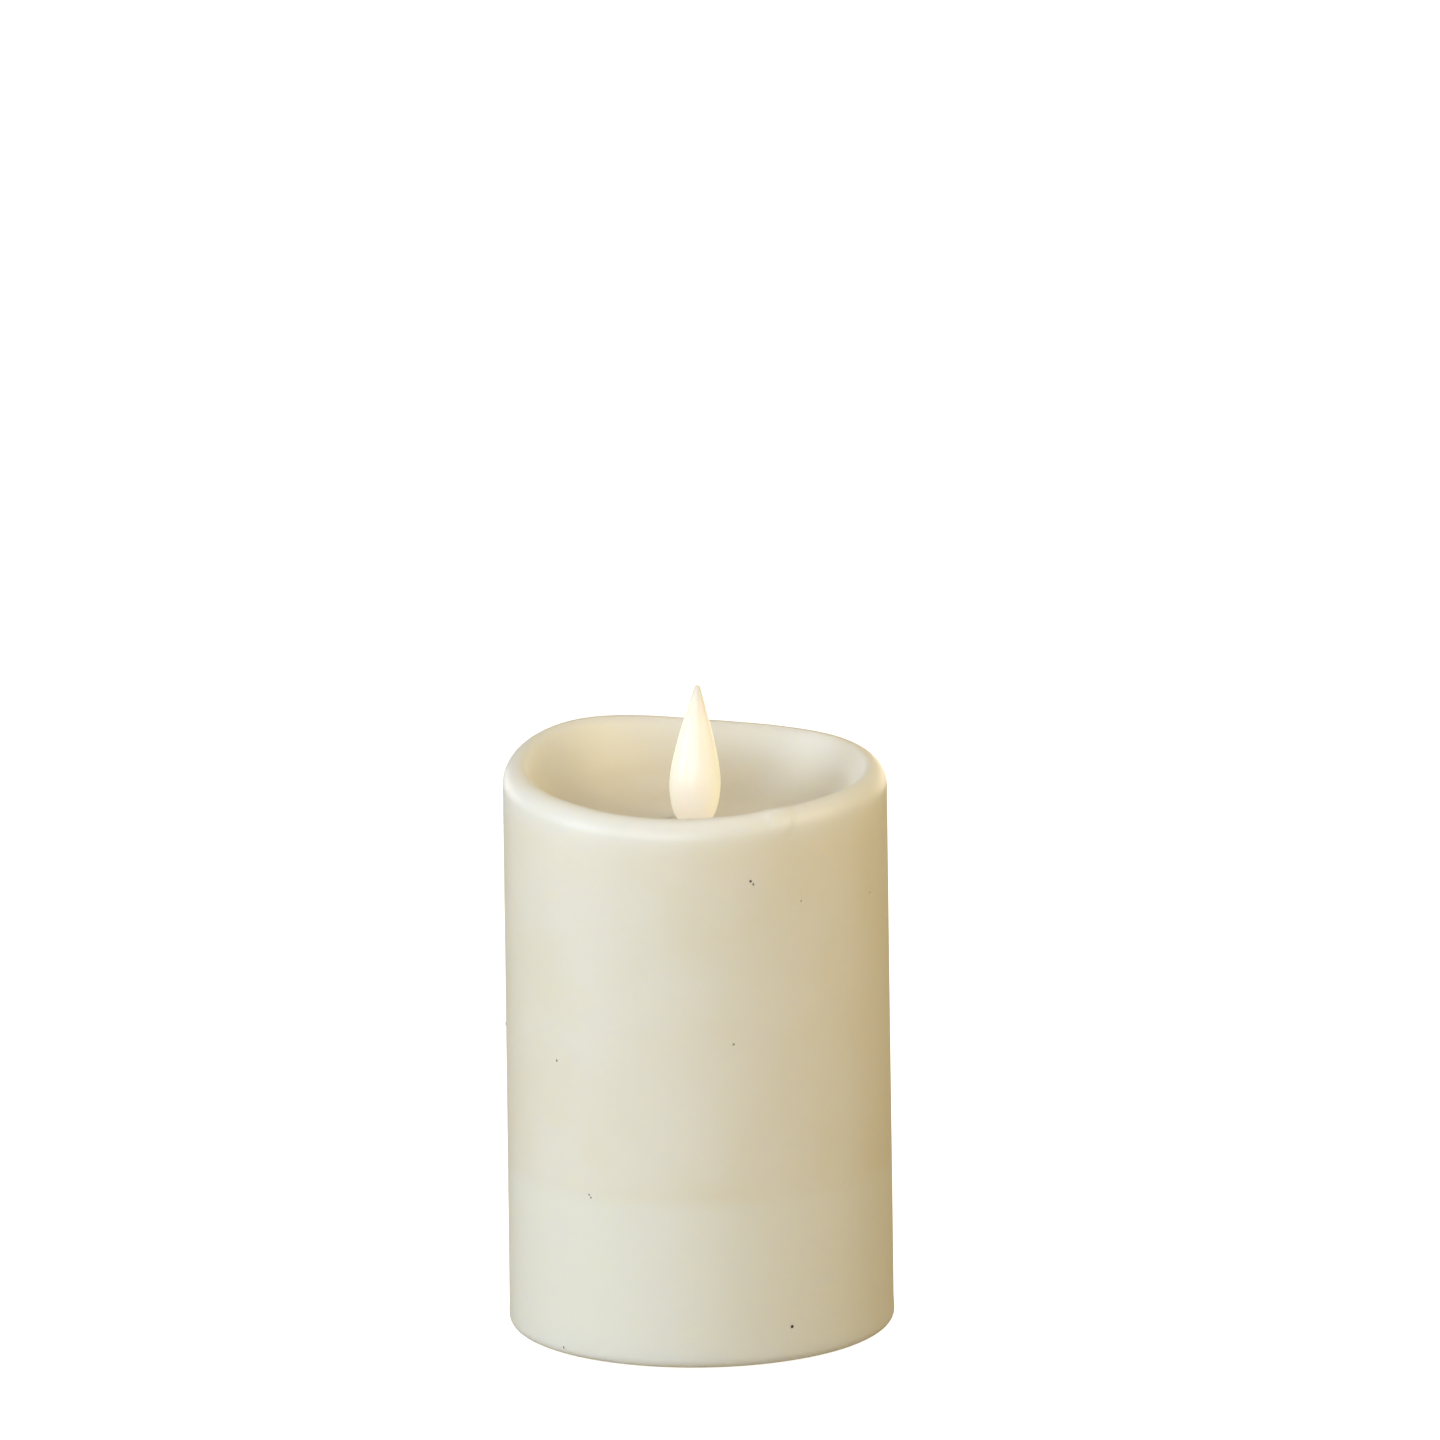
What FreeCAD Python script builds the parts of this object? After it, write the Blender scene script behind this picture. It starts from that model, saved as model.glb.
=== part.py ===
"""Flameless LED pillar candle: a hollow wax pillar around a battery base with a lit plastic flame.

Millimetres, +Z up. The origin is on the table under the middle of the candle, and the candle's
front faces -Y. Each function below makes one piece, and the last section writes one STEP a piece.
"""
import FreeCAD, Part
import math
import os

V = FreeCAD.Vector
UP = V(0, 0, 1)

# ---------------------------------------------------------------- wax pillar
WAX_DIAMETER = 82.5        # a 3.25 inch pillar, measured at the foot
WAX_RADIUS = WAX_DIAMETER / 2
WAX_LIFT = 0.8             # the rubber feet hold the wax this far off the table
WAX_DRAFT = 0.0038         # radius lost per millimetre of height, so that the casting leaves its mould
WAX_FOOT_ROUND = 2.0       # rounding of the bottom edge
RIM_MEAN = 122.4           # mean height of the rim above the table
RIM_WAVES = ((1, 3.0, 105.0),   # waves round the rim, their rise, and the angle of a crest
             (2, 1.0, 149.0),
             (3, 0.3, 21.0),
             (4, 0.3, 39.0))
CREST_RADIUS = 37.0        # where the rim is highest across its wall
OUTER_ROUND = 4.2          # how far the outer side of the rim rounds down
BOWL_SHOULDER = 33.4       # the bowl's side is an S-shaped curve with its upper handle here
BOWL_HEEL = 34.2           # and its lower handle here
FLOOR_RADIUS = 20.0        # flat middle of the bowl
FLOOR_Z = 110.1
BORE_RADIUS = 34.5         # hollow that holds the base unit and the stem
BORE_TOP = 102.0
BORE_ROUND = 5.0
FLOOR_HOLE_RADIUS = 6.1

# ---------------------------------------------------------------- flame and its stem
FLAME_OUTLINE = ((4.05, 111.3),   # radius and height, from the neck up
                 (4.75, 113.0),
                 (5.25, 115.6),
                 (5.42, 118.8),
                 (4.95, 122.8),
                 (3.75, 128.2),
                 (2.4, 133.2),
                 (1.3, 137.1))
FLAME_TIP = 139.6
FLAME_TIP_ROUND = 0.7
FLAME_NECK_RADIUS = 2.9
FLAME_NECK_Z = 108.0
FLAME_WALL = 0.8
FLAME_LEAN = 2.0           # degrees, towards +X
FLAME_SHIFT = -0.25        # set by hand, so it sits a little off the middle
SEAT_TOP = 110.4
SEAT_RADIUS = 5.9
SEAT_BOTTOM = 96.0
LED_RADIUS = 1.5
LED_STOP = 107.0           # the LED's flange rests under this ledge of the seat
LED_LEG_Y = 0.95
LED_LEG_LONG = 93.0        # where the two legs end
LED_LEG_SHORT = 94.5
LED_LEG_HALF = 0.25        # half the side of a leg
LED_FLANGE_RADIUS = 1.9
LED_FLANGE_THICK = 1.0
LED_STRAIGHT = 2.8         # straight side of the LED between its flange and its dome
STEM_RADIUS = 7.0
STEM_WALL = 1.2

# ---------------------------------------------------------------- base unit
BASE_FACE = 0.6            # underside of the plastic base above the table
FLANGE_RADIUS = 37.5
FLANGE_TOP = 2.4
CUP_RADIUS = 34.0
CUP_WALL = 1.8
CUP_TOP = 36.0
COVER_THICK = 1.8
COVER_TOP = CUP_TOP + COVER_THICK
BAY_X = 28.2               # half length, half width and ceiling of the battery bay
BAY_Y = 15.2
BAY_TOP = 18.6
BAY_WALL = 1.3
BAY_ROOF = 1.4
POST_RING = 29.6           # circle of the three posts that take the cover's screws
POST_ANGLES = (90.0, 210.0, 330.0)
POST_RADIUS = 3.0
SCREW_RADIUS = 1.1
PILOT_RADIUS = 1.15
PASS_RADIUS = 1.4
FOOT_RING = 29.0
FOOT_ANGLES = (60.0, 120.0, 240.0, 300.0)
FOOT_RADIUS = 3.5
FOOT_THICK = 1.2
FOOT_SOFT = 0.3            # rounding of a foot's lower edge
BOSS_RADIUS = 2.5          # bosses under the board
SADDLE_XS = (-13.0, 13.0)  # ribs that the cells lie against
SADDLE_HALF = 0.7
SOCKET_RADIUS = STEM_RADIUS + 0.05
SOCKET_WALL = 1.8
SOCKET_HEIGHT = 6.2
GUSSET_REACH = 9.0
GUSSET_THICK = 1.6
CABLE_HOLE_RADIUS = 4.2
GLUE_BOTTOM = 27.0
GLUE_TOP = 33.0
GLUE_ANGLES = (30.0, 150.0, 270.0)
GLUE_HALF_WIDTH = 6.0
SCREW_HEAD_RADIUS = 2.1
SCREW_HEAD_HEIGHT = 1.3
SCREW_CROSS = (1.3, 0.22)  # half length and half width of one bar of the cross recess
COVER_SCREW_LENGTH = 7.5
BOARD_SCREW_LENGTH = 5.0

# ---------------------------------------------------------------- battery door
DOOR_THICK = 1.6
DOOR_X = 30.2              # half length and half width
DOOR_Y = 17.1
DOOR_GAP = 0.2
LEDGE_Z = BASE_FACE + DOOR_THICK + 0.1
LEDGE_THICK = 1.6
HINGE_X = -DOOR_X + DOOR_THICK / 2
HINGE_Z = BASE_FACE + DOOR_THICK / 2
HINGE_PIN_RADIUS = 0.6
HINGE_PIN_LENGTH = 1.2
HINGE_CLEARANCE = 0.06
LATCH_HALF_WIDTH = 5.0
LATCH_SLIT = 0.8           # slits that free the latch tongue
LATCH_ROOT_X = 19.0        # where the slits end
LATCH_NOSE_HALF = 3.0
LATCH_NOSE_DEPTH = 1.1
GRIP_XS = (24.0, 25.6, 27.2)
GRIP_HALF = 0.35
GRIP_STAND = 0.25          # how far the grips stand out of the door
DOOR_CORNER = 2.0
DOOR_FRAME = 1.6           # plastic round the door's opening
DOOR_RIB_XS = (-15.0, 0.0, 15.0)
DOOR_RIB_HALF = 0.6
DOOR_RIB_HEIGHT = 0.75

# ---------------------------------------------------------------- cells and contacts
CELL_RADIUS = 7.15
CELL_Y = 7.45
CELL_Z = 10.4
CELL_NOSE_X = 26.5         # tip of the positive cap
CELL_NOSE = 1.4
CELL_CAN = 49.1
CELL_SOFT = 0.4            # rounding of the can's edges and the cap's
CAP_RADIUS = 2.7
PLATE_THICK = 0.4
PLATE_HALF_HEIGHT = 5.2
PLATE_Y = (1.4, 12.6)      # nearest and furthest edge of a plate from the middle of the bay
TAB_HALF_WIDTH = 1.5
TAB_TOP = 23.0
DIMPLE_RADII = (2.4, 1.4)
SPRING_WIRE = 0.3          # radius of the wire
SPRING_TURNS = 3
SPRING_STEPS = 8           # points of the spring's path in one turn
SPRING_GAP = 0.05          # room between the spring and what it presses on
SPRING_SMALL = 2.7         # coil radius at the cell and at the plate
SPRING_LARGE = 4.0

# ---------------------------------------------------------------- circuit board
BOARD_X = 21.0
BOARD_Y = 12.0
BOARD_Z = 24.0
BOARD_THICK = 1.6
BOARD_TOP = BOARD_Z + BOARD_THICK
BOARD_FIXING_X = 17.5
BOARD_FIXING_Y = 8.8
CHIP_X = -5.0
CHIP_HALF_WIDTH = 3.2
CHIP_HALF_LENGTH = 4.7
CHIP_UNDER = 0.5           # gap under the chip
CHIP_TOP = 3.7
CHIP_PITCH = 2.54
LEG_HALF_WIDTH = 0.3
LEG_OUT = 0.8
LEG_THICK = 0.3
LEG_SHELF = 2.0            # top of a leg's level part above the board
CRYSTAL_PLACE = (-14.5, -5.6)
CRYSTAL_RADIUS = 1.0
CRYSTAL_LENGTH = 6.0
RESISTOR_XS = (4.6, 7.6, 10.6)
RESISTOR_RADIUS = 1.0
RESISTOR_Y = (2.6, 7.2)    # ends of a resistor's body
RESISTOR_LEG_Y = (1.4, 8.4)
RESISTOR_LIFT = 1.6        # axis above the board
LEAD_RADIUS = 0.25
CAPACITOR_X = 16.5
CAPACITOR_Y = 2.2
CAPACITOR_RADIUS = 2.5
CAPACITOR_HEIGHT = 7.5
SOLDER_FOOT = 1.25
SOLDER_CROWN = 0.85
SOLDER_HEIGHT = 0.7
LAMP_PAD_X = 1.2           # pads for the LED's wires
LAMP_PAD_Y = 5.0
CELL_PAD_X = -18.0         # pads for the cells' wires
CELL_PAD_Y = 4.0
SWITCH_PAD_Y = -9.6
JOINT_HOLLOW = 0.25        # how deep a wire's end stands in its solder

# ---------------------------------------------------------------- slide switch
SWITCH_Y = -25.0
SWITCH_FLOOR = 4.2         # top of the raised pocket that the switch stands on
SWITCH_LENGTH = 12.6
SWITCH_WIDTH = 6.4
SWITCH_HEIGHT = 4.6
SWITCH_SKIN = 0.4
SWITCH_LID = 1.2           # pin plate that closes the case
SWITCH_THROW = 2.0         # travel each way from the middle
KNOB_LENGTH = 4.0
KNOB_WIDTH = 3.0
KNOB_BOTTOM = BASE_FACE + 0.4
KNOB_GROOVE_XS = (-1.2, 0.0, 1.2)
SLOT_X = KNOB_LENGTH / 2 + SWITCH_THROW + 0.4
SLOT_Y = 1.8
SLIDER_FLANGE_X = 3.4
SLIDER_FLANGE_Y = 2.4
SLIDER_FLANGE_THICK = 1.2
POCKET_X = 8.5             # pocket in the base's underside round the knob
POCKET_Y = 4.6
POCKET_ROOF = 1.4
POCKET_WALL = 1.5
PIN_XS = (-3.75, -1.25, 1.25, 3.75)
PIN_HALF_LENGTH = 0.6
PIN_HALF_WIDTH = 0.3
SWITCH_PIN_HEIGHT = 2.4

WIRE_RADIUS = 0.65

pieces = {}


# ---------------------------------------------------------------- shared shapes
def block(x0, x1, y0, y1, z0, z1):
    """Box between two corners."""
    return Part.makeBox(x1 - x0, y1 - y0, z1 - z0, V(x0, y0, z0))


def slab(half_x, half_y, z0, z1, corner, x=0.0, y=0.0):
    """Plate with rounded upright corners about (x, y)."""
    plate = block(x - half_x, x + half_x, y - half_y, y + half_y, z0, z1)
    upright = [edge for edge in plate.Edges if abs(edge.tangentAt(edge.FirstParameter).z) > 0.99]
    return plate.makeFillet(corner, upright)


def rod(radius, z0, z1, x=0.0, y=0.0):
    """Upright cylinder."""
    return Part.makeCylinder(radius, z1 - z0, V(x, y, z0), UP)


def tube(outer, inner, z0, z1):
    """Upright tube on the candle's axis."""
    return rod(outer, z0, z1).cut(rod(inner, z0 - 1, z1 + 1))


def turned(edges):
    """Solid turned about +Z from a closed outline of edges in the XZ plane."""
    return Part.Face(Part.Wire(edges)).revolve(V(0, 0, 0), UP, 360)


def polyline(points):
    """Straight edges through (radius, height) points in the XZ plane."""
    corners = [V(r, 0, z) for r, z in points]
    return [Part.makeLine(a, b) for a, b in zip(corners, corners[1:])]


def arc(start, middle, end):
    """Arc through three (radius, height) points in the XZ plane."""
    return Part.Arc(V(start[0], 0, start[1]), V(middle[0], 0, middle[1]), V(end[0], 0, end[1])).toShape()


def smooth(points):
    """Smooth edge through (radius, height) points in the XZ plane."""
    curve = Part.BSplineCurve()
    curve.interpolate(Points=[V(r, 0, z) for r, z in points])
    return curve.toShape()


def along(axis, radius, start, length):
    """Lying cylinder from a start point along an axis."""
    return Part.makeCylinder(radius, length, V(*start), V(*axis))


def around(ring, angle):
    """Point on a circle about the candle's axis."""
    turn = math.radians(angle)
    return ring * math.cos(turn), ring * math.sin(turn)


def joined(shapes):
    """One clean solid from overlapping shapes."""
    whole = shapes[0]
    for shape in shapes[1:]:
        whole = whole.fuse(shape)
    return whole.removeSplitter()


def turned_half(shape):
    """The shape turned half a turn about the candle's axis."""
    copy = shape.copy()
    copy.rotate(V(0, 0, 0), UP, 180)
    return copy


def bent_wire(name, points, radius):
    """Round wire of straight runs joined by tangent arcs as large as the runs allow."""
    corners = [V(*point) for point in points]
    edges = []
    radii = []
    start = corners[0]
    for before, corner, after in zip(corners, corners[1:], corners[2:]):
        arriving = corner - before
        leaving = after - corner
        half_turn = arriving.getAngle(leaving) / 2
        trim = 0.45 * min(arriving.Length, leaving.Length)
        bend = trim / math.tan(half_turn)
        arriving.normalize()
        leaving.normalize()
        inward = leaving - arriving
        inward.normalize()
        enter = corner - arriving * trim
        leave = corner + leaving * trim
        middle = corner + inward * (bend / math.cos(half_turn) - bend)
        edges.append(Part.makeLine(start, enter))
        edges.append(Part.Arc(enter, middle, leave).toShape())
        radii.append(bend)
        start = leave
    edges.append(Part.makeLine(start, corners[-1]))
    path = Part.Wire(edges)
    section = Part.Wire(Part.Circle(corners[0], corners[1] - corners[0], radius).toShape())
    solid = path.makePipeShell([section], True, False)
    expected = math.pi * radius ** 2 * path.Length
    print(f"{name}: length {path.Length:.1f}, arc radii {min(radii):.1f} to {max(radii):.1f},"
          f" volume {solid.Volume / expected:.3f} of section times length")
    return solid


# ---------------------------------------------------------------- wax
def wax_radius(z):
    """Outside radius of the wax at a height above the table."""
    return WAX_RADIUS - WAX_DRAFT * (z - WAX_LIFT)


def rim_height(turn):
    """Height of the rim's crest at an angle in radians from +X."""
    rise = sum(size * math.cos(count * (turn - math.radians(crest))) for count, size, crest in RIM_WAVES)
    return RIM_MEAN + rise


def wavy_ring(radius_at, height_at, count=48):
    """Closed smooth ring whose radius and height follow the angle."""
    points = []
    for step in range(count):
        turn = 2 * math.pi * step / count
        radius = radius_at(turn)
        points.append(V(radius * math.cos(turn), radius * math.sin(turn), height_at(turn)))
    curve = Part.BSplineCurve()
    curve.interpolate(Points=points, PeriodicFlag=True)
    return Part.Wire(curve.toShape())


def level_ring(radius, height):
    """Round level ring."""
    return wavy_ring(lambda turn: radius, lambda turn: height)


def wall_ring(bottom, fraction):
    """Ring on the straight wall: fraction 0 is level at the bottom and 1 follows the rim's rounding."""
    def height_at(turn):
        return bottom + fraction * (rim_height(turn) - OUTER_ROUND - bottom)
    return wavy_ring(lambda turn: wax_radius(height_at(turn)), height_at)


def rim_ring(fraction):
    """Ring on the rim's outer rounding: fraction 0 is the crest and 1 is where the straight wall ends."""
    reach = math.sin(fraction * math.pi / 2)
    fall = 1 - math.cos(fraction * math.pi / 2)
    return wavy_ring(lambda turn: CREST_RADIUS + reach * (wax_radius(rim_height(turn)) - CREST_RADIUS),
                     lambda turn: rim_height(turn) - OUTER_ROUND * fall)


def bowl_ring(fraction):
    """Ring on the bowl's side, a cubic curve level at both ends, from the crest to the flat floor."""
    rest = 1 - fraction
    weights = (rest ** 3, 3 * fraction * rest ** 2, 3 * fraction ** 2 * rest, fraction ** 3)
    handles = (CREST_RADIUS, BOWL_SHOULDER, BOWL_HEEL, FLOOR_RADIUS)
    radius = sum(weight * handle for weight, handle in zip(weights, handles))
    upper = weights[0] + weights[1]
    return wavy_ring(lambda turn: radius, lambda turn: FLOOR_Z + upper * (rim_height(turn) - FLOOR_Z))


def make_wax_shell():
    """Cast wax pillar: straight wall, wavy rounded rim, shallow bowl and a bore from below."""
    waist = BORE_TOP + 3
    foot_rings = []
    for step in range(5):
        turn = math.pi / 2 * step / 4
        foot_rings.append(level_ring(WAX_RADIUS - WAX_FOOT_ROUND * (1 - math.sin(turn)),
                                     WAX_LIFT + WAX_FOOT_ROUND * (1 - math.cos(turn))))
    pillar = Part.makeLoft([*foot_rings, level_ring(wax_radius(waist), waist)], True, True, False)
    rings = [wall_ring(waist, step / 6) for step in range(6)]
    rings += [rim_ring(1 - step / 5) for step in range(6)]
    rings += [bowl_ring((step + 1) / 12) for step in range(12)]
    head = Part.makeLoft(rings, True, False, False)
    wax = pillar.fuse(head)
    bore = turned([
        *polyline(((0, BORE_TOP), (0, -1), (BORE_RADIUS, -1), (BORE_RADIUS, BORE_TOP - BORE_ROUND))),
        arc((BORE_RADIUS, BORE_TOP - BORE_ROUND),
            (BORE_RADIUS - BORE_ROUND * (1 - math.sqrt(0.5)), BORE_TOP - BORE_ROUND * (1 - math.sqrt(0.5))),
            (BORE_RADIUS - BORE_ROUND, BORE_TOP)),
        *polyline(((BORE_RADIUS - BORE_ROUND, BORE_TOP), (0, BORE_TOP)))])
    recess = rod(FLANGE_RADIUS + 0.4, -1, FLANGE_TOP + 0.1)
    hole = rod(FLOOR_HOLE_RADIUS, BORE_TOP - 1, FLOOR_Z + 2)
    return wax.cut(bore).cut(recess).cut(hole)


# ---------------------------------------------------------------- flame, LED and stem
def make_flame_shell():
    """Teardrop flame: a thin milky plastic shell on a short neck, open at the bottom."""
    tip = [(FLAME_TIP_ROUND, FLAME_TIP - FLAME_TIP_ROUND), (0, FLAME_TIP)]
    outside = [(FLAME_NECK_RADIUS, SEAT_TOP), *FLAME_OUTLINE, tip[0]]
    inside = [(FLAME_NECK_RADIUS - FLAME_WALL, SEAT_TOP)]
    inside += [(radius - FLAME_WALL, height) for radius, height in FLAME_OUTLINE[:-1]]
    inside_top = (0, FLAME_TIP - 3.2)
    bend = (FLAME_TIP_ROUND * math.sqrt(0.5), FLAME_TIP - FLAME_TIP_ROUND * (1 - math.sqrt(0.5)))
    body = turned([
        *polyline(((0, FLAME_NECK_Z), (FLAME_NECK_RADIUS, FLAME_NECK_Z), outside[0])),
        smooth(outside),
        arc(tip[0], bend, tip[1]),
        *polyline((tip[1], (0, FLAME_NECK_Z)))])
    hollow = turned([
        *polyline(((0, FLAME_NECK_Z - 1), (inside[0][0], FLAME_NECK_Z - 1), inside[0])),
        smooth([*inside, inside_top]),
        *polyline((inside_top, (0, FLAME_NECK_Z - 1)))])
    flame = body.cut(hollow)
    flame.rotate(V(0, 0, SEAT_TOP), V(0, 1, 0), FLAME_LEAN)
    flame.translate(V(FLAME_SHIFT, 0, 0))
    return flame


def make_flame_seat():
    """Plastic collar in the wax floor that holds the LED from below and the flame from above."""
    spigot = STEM_RADIUS - STEM_WALL - 0.1
    socket = FLAME_NECK_RADIUS + 0.45
    soft = 0.5
    return turned([
        *polyline(((2.1, LED_STOP), (2.1, SEAT_BOTTOM), (spigot, SEAT_BOTTOM), (spigot, BORE_TOP),
                   (SEAT_RADIUS, BORE_TOP), (SEAT_RADIUS, SEAT_TOP - soft))),
        arc((SEAT_RADIUS, SEAT_TOP - soft), (SEAT_RADIUS - 0.15, SEAT_TOP - 0.15),
            (SEAT_RADIUS - soft, SEAT_TOP)),
        *polyline(((SEAT_RADIUS - soft, SEAT_TOP), (socket, SEAT_TOP), (socket, FLAME_NECK_Z - 0.2),
                   (1.7, FLAME_NECK_Z - 0.2), (1.7, LED_STOP), (2.1, LED_STOP)))])


def make_stem_tube():
    """Tube from the base unit up to the underside of the wax floor."""
    return tube(STEM_RADIUS, STEM_RADIUS - STEM_WALL, COVER_TOP, BORE_TOP)


def make_led_lens():
    """Three millimetre LED with its flange and domed nose."""
    bottom = LED_STOP - LED_FLANGE_THICK
    shoulder = LED_STOP + LED_STRAIGHT
    nose = shoulder + LED_RADIUS
    slope = LED_RADIUS * math.sqrt(0.5)
    return turned([
        *polyline(((0, bottom), (LED_FLANGE_RADIUS, bottom), (LED_FLANGE_RADIUS, LED_STOP),
                   (LED_RADIUS, LED_STOP), (LED_RADIUS, shoulder))),
        arc((LED_RADIUS, shoulder), (slope, shoulder + slope), (0, nose)),
        *polyline(((0, nose), (0, bottom)))])


def make_led_leads():
    """The LED's two square legs, one a little longer."""
    half = LED_LEG_HALF
    legs = [block(-half, half, y - half, y + half, bottom, LED_STOP - LED_FLANGE_THICK)
            for y, bottom in ((LED_LEG_Y, LED_LEG_LONG), (-LED_LEG_Y, LED_LEG_SHORT))]
    return Part.makeCompound(legs)


# ---------------------------------------------------------------- base unit
def make_base_cup():
    """Moulded cup: flange, wall, battery bay, door pocket, switch pocket, posts and foot recesses."""
    round_space = rod(CUP_RADIUS, BASE_FACE, CUP_TOP)
    shapes = [rod(FLANGE_RADIUS, BASE_FACE, FLANGE_TOP)]
    shapes.append(tube(CUP_RADIUS, CUP_RADIUS - CUP_WALL, BASE_FACE, CUP_TOP))
    shapes.append(slab(DOOR_X + DOOR_FRAME, DOOR_Y + DOOR_FRAME, BASE_FACE, LEDGE_Z + LEDGE_THICK,
                       DOOR_CORNER).common(round_space))
    shapes.append(block(-BAY_X - BAY_WALL, BAY_X + BAY_WALL, -BAY_Y - BAY_WALL, BAY_Y + BAY_WALL,
                        BASE_FACE, BAY_TOP + BAY_ROOF).common(round_space))
    shapes.append(block(-POCKET_X - POCKET_WALL, POCKET_X + POCKET_WALL, SWITCH_Y - POCKET_Y - POCKET_ROOF,
                        SWITCH_Y + POCKET_Y + POCKET_ROOF, BASE_FACE, SWITCH_FLOOR))
    shapes += [post.common(round_space) for post in cover_posts()]
    for x in (-BOARD_FIXING_X, BOARD_FIXING_X):
        for y in (-BOARD_FIXING_Y, BOARD_FIXING_Y):
            shapes.append(rod(BOSS_RADIUS, BAY_TOP, BOARD_Z, x, y))
    cup = joined(shapes)
    for space in door_spaces() + switch_spaces() + screw_holes():
        cup = cup.cut(space)
    for angle in FOOT_ANGLES:
        cup = cup.cut(rod(FOOT_RADIUS + 0.1, 0, FOOT_THICK, *around(FOOT_RING, angle)))
    return cup.fuse(cradle_ribs()).removeSplitter()


def cover_posts():
    """Posts for the cover's screws; the one beside the bay stands on the floor, the others on the bay."""
    posts = []
    for index, angle in enumerate(POST_ANGLES):
        bottom = BASE_FACE if index == 0 else BAY_TOP
        posts.append(rod(POST_RADIUS, bottom, CUP_TOP, *around(POST_RING, angle)))
    return posts


def door_spaces():
    """Room for the door, its rolled edge, its pins and a fingertip, and the bay above it."""
    pin_reach = DOOR_Y + HINGE_PIN_LENGTH + 0.2
    spaces = [slab(DOOR_X + DOOR_GAP, DOOR_Y + DOOR_GAP, 0, LEDGE_Z, DOOR_CORNER)]
    spaces.append(block(-DOOR_X - 0.35, -DOOR_X + 3, -DOOR_Y - DOOR_GAP, DOOR_Y + DOOR_GAP, 0, LEDGE_Z))
    spaces.append(block(-BAY_X, BAY_X, -BAY_Y, BAY_Y, 0, BAY_TOP))
    spaces.append(slab(2.2, 6.5, 0, BASE_FACE + 1.2, 1.5, DOOR_X + 2.2, 0))
    spaces.append(along((0, 1, 0), HINGE_PIN_RADIUS + HINGE_CLEARANCE, (HINGE_X, -pin_reach, HINGE_Z),
                        2 * pin_reach))
    return spaces


def switch_spaces():
    """Pocket round the switch's knob, and the slot that the knob slides in."""
    pocket = slab(POCKET_X, POCKET_Y, 0, SWITCH_FLOOR - POCKET_ROOF, 1.5, 0, SWITCH_Y)
    slot = block(-SLOT_X, SLOT_X, SWITCH_Y - SLOT_Y, SWITCH_Y + SLOT_Y, 0, SWITCH_FLOOR + 1)
    return [pocket, slot]


def screw_holes():
    """Pilot holes in the posts and bosses, and slits for the contacts' tabs."""
    holes = [rod(PILOT_RADIUS, CUP_TOP - 8, CUP_TOP + 1, *around(POST_RING, angle)) for angle in POST_ANGLES]
    holes += [rod(PILOT_RADIUS, BAY_TOP + 0.8, BOARD_Z + 1, x, y) for x, y in board_screw_places()]
    slit_half = TAB_HALF_WIDTH + 0.3
    for y in (-CELL_Y, CELL_Y):
        holes.append(block(-BAY_X, -BAY_X + 2 * PLATE_THICK, y - slit_half, y + slit_half,
                           BAY_TOP - 1, BAY_TOP + 3))
    return holes


def cradle_ribs():
    """Saddles under the bay's ceiling that the two cells lie against."""
    ribs = [block(x - SADDLE_HALF, x + SADDLE_HALF, -BAY_Y - 0.5, BAY_Y + 0.5, CELL_Z + 3.6, BAY_TOP + 0.5)
            for x in SADDLE_XS]
    saddle = Part.makeCompound(ribs)
    for y in (-CELL_Y, CELL_Y):
        saddle = saddle.cut(along((1, 0, 0), CELL_RADIUS + 0.1, (-BAY_X, y, CELL_Z), 2 * BAY_X))
    return saddle


def make_base_cover():
    """Lid of the cup with a socket and four gussets for the stem."""
    collar = tube(SOCKET_RADIUS + SOCKET_WALL, SOCKET_RADIUS, CUP_TOP, COVER_TOP + SOCKET_HEIGHT)
    plate = rod(CUP_RADIUS - 0.1, CUP_TOP, COVER_TOP)
    lip = tube(CUP_RADIUS - CUP_WALL - 0.2, CUP_RADIUS - CUP_WALL - 1.6, CUP_TOP - 1.4, CUP_TOP)
    for angle in POST_ANGLES:
        lip = lip.cut(rod(POST_RADIUS + 0.4, CUP_TOP - 2, CUP_TOP, *around(POST_RING, angle)))
    cover = joined([plate, lip, collar, *stem_gussets()])
    cover = cover.cut(rod(CABLE_HOLE_RADIUS, CUP_TOP - 1, COVER_TOP + 1))
    cover = cover.cut(rod(SOCKET_RADIUS, COVER_TOP, COVER_TOP + SOCKET_HEIGHT + 1))
    for angle in POST_ANGLES:
        cover = cover.cut(rod(PASS_RADIUS, CUP_TOP - 1, COVER_TOP + 1, *around(POST_RING, angle)))
    return cover


def stem_gussets():
    """Four thin triangles that brace the stem's socket."""
    y = -GUSSET_THICK / 2
    inner = SOCKET_RADIUS + 1
    outer = SOCKET_RADIUS + GUSSET_REACH
    corners = ((inner, COVER_TOP - 0.5), (outer, COVER_TOP - 0.5), (outer, COVER_TOP + 0.4),
               (inner, COVER_TOP + SOCKET_HEIGHT - 0.8), (inner, COVER_TOP - 0.5))
    outline = Part.makePolygon([V(x, y, z) for x, z in corners])
    gusset = Part.Face(outline).extrude(V(0, GUSSET_THICK, 0))
    gussets = []
    for angle in (0, 90, 180, 270):
        turned_gusset = gusset.copy()
        turned_gusset.rotate(V(0, 0, 0), UP, angle)
        gussets.append(turned_gusset)
    return gussets


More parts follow.
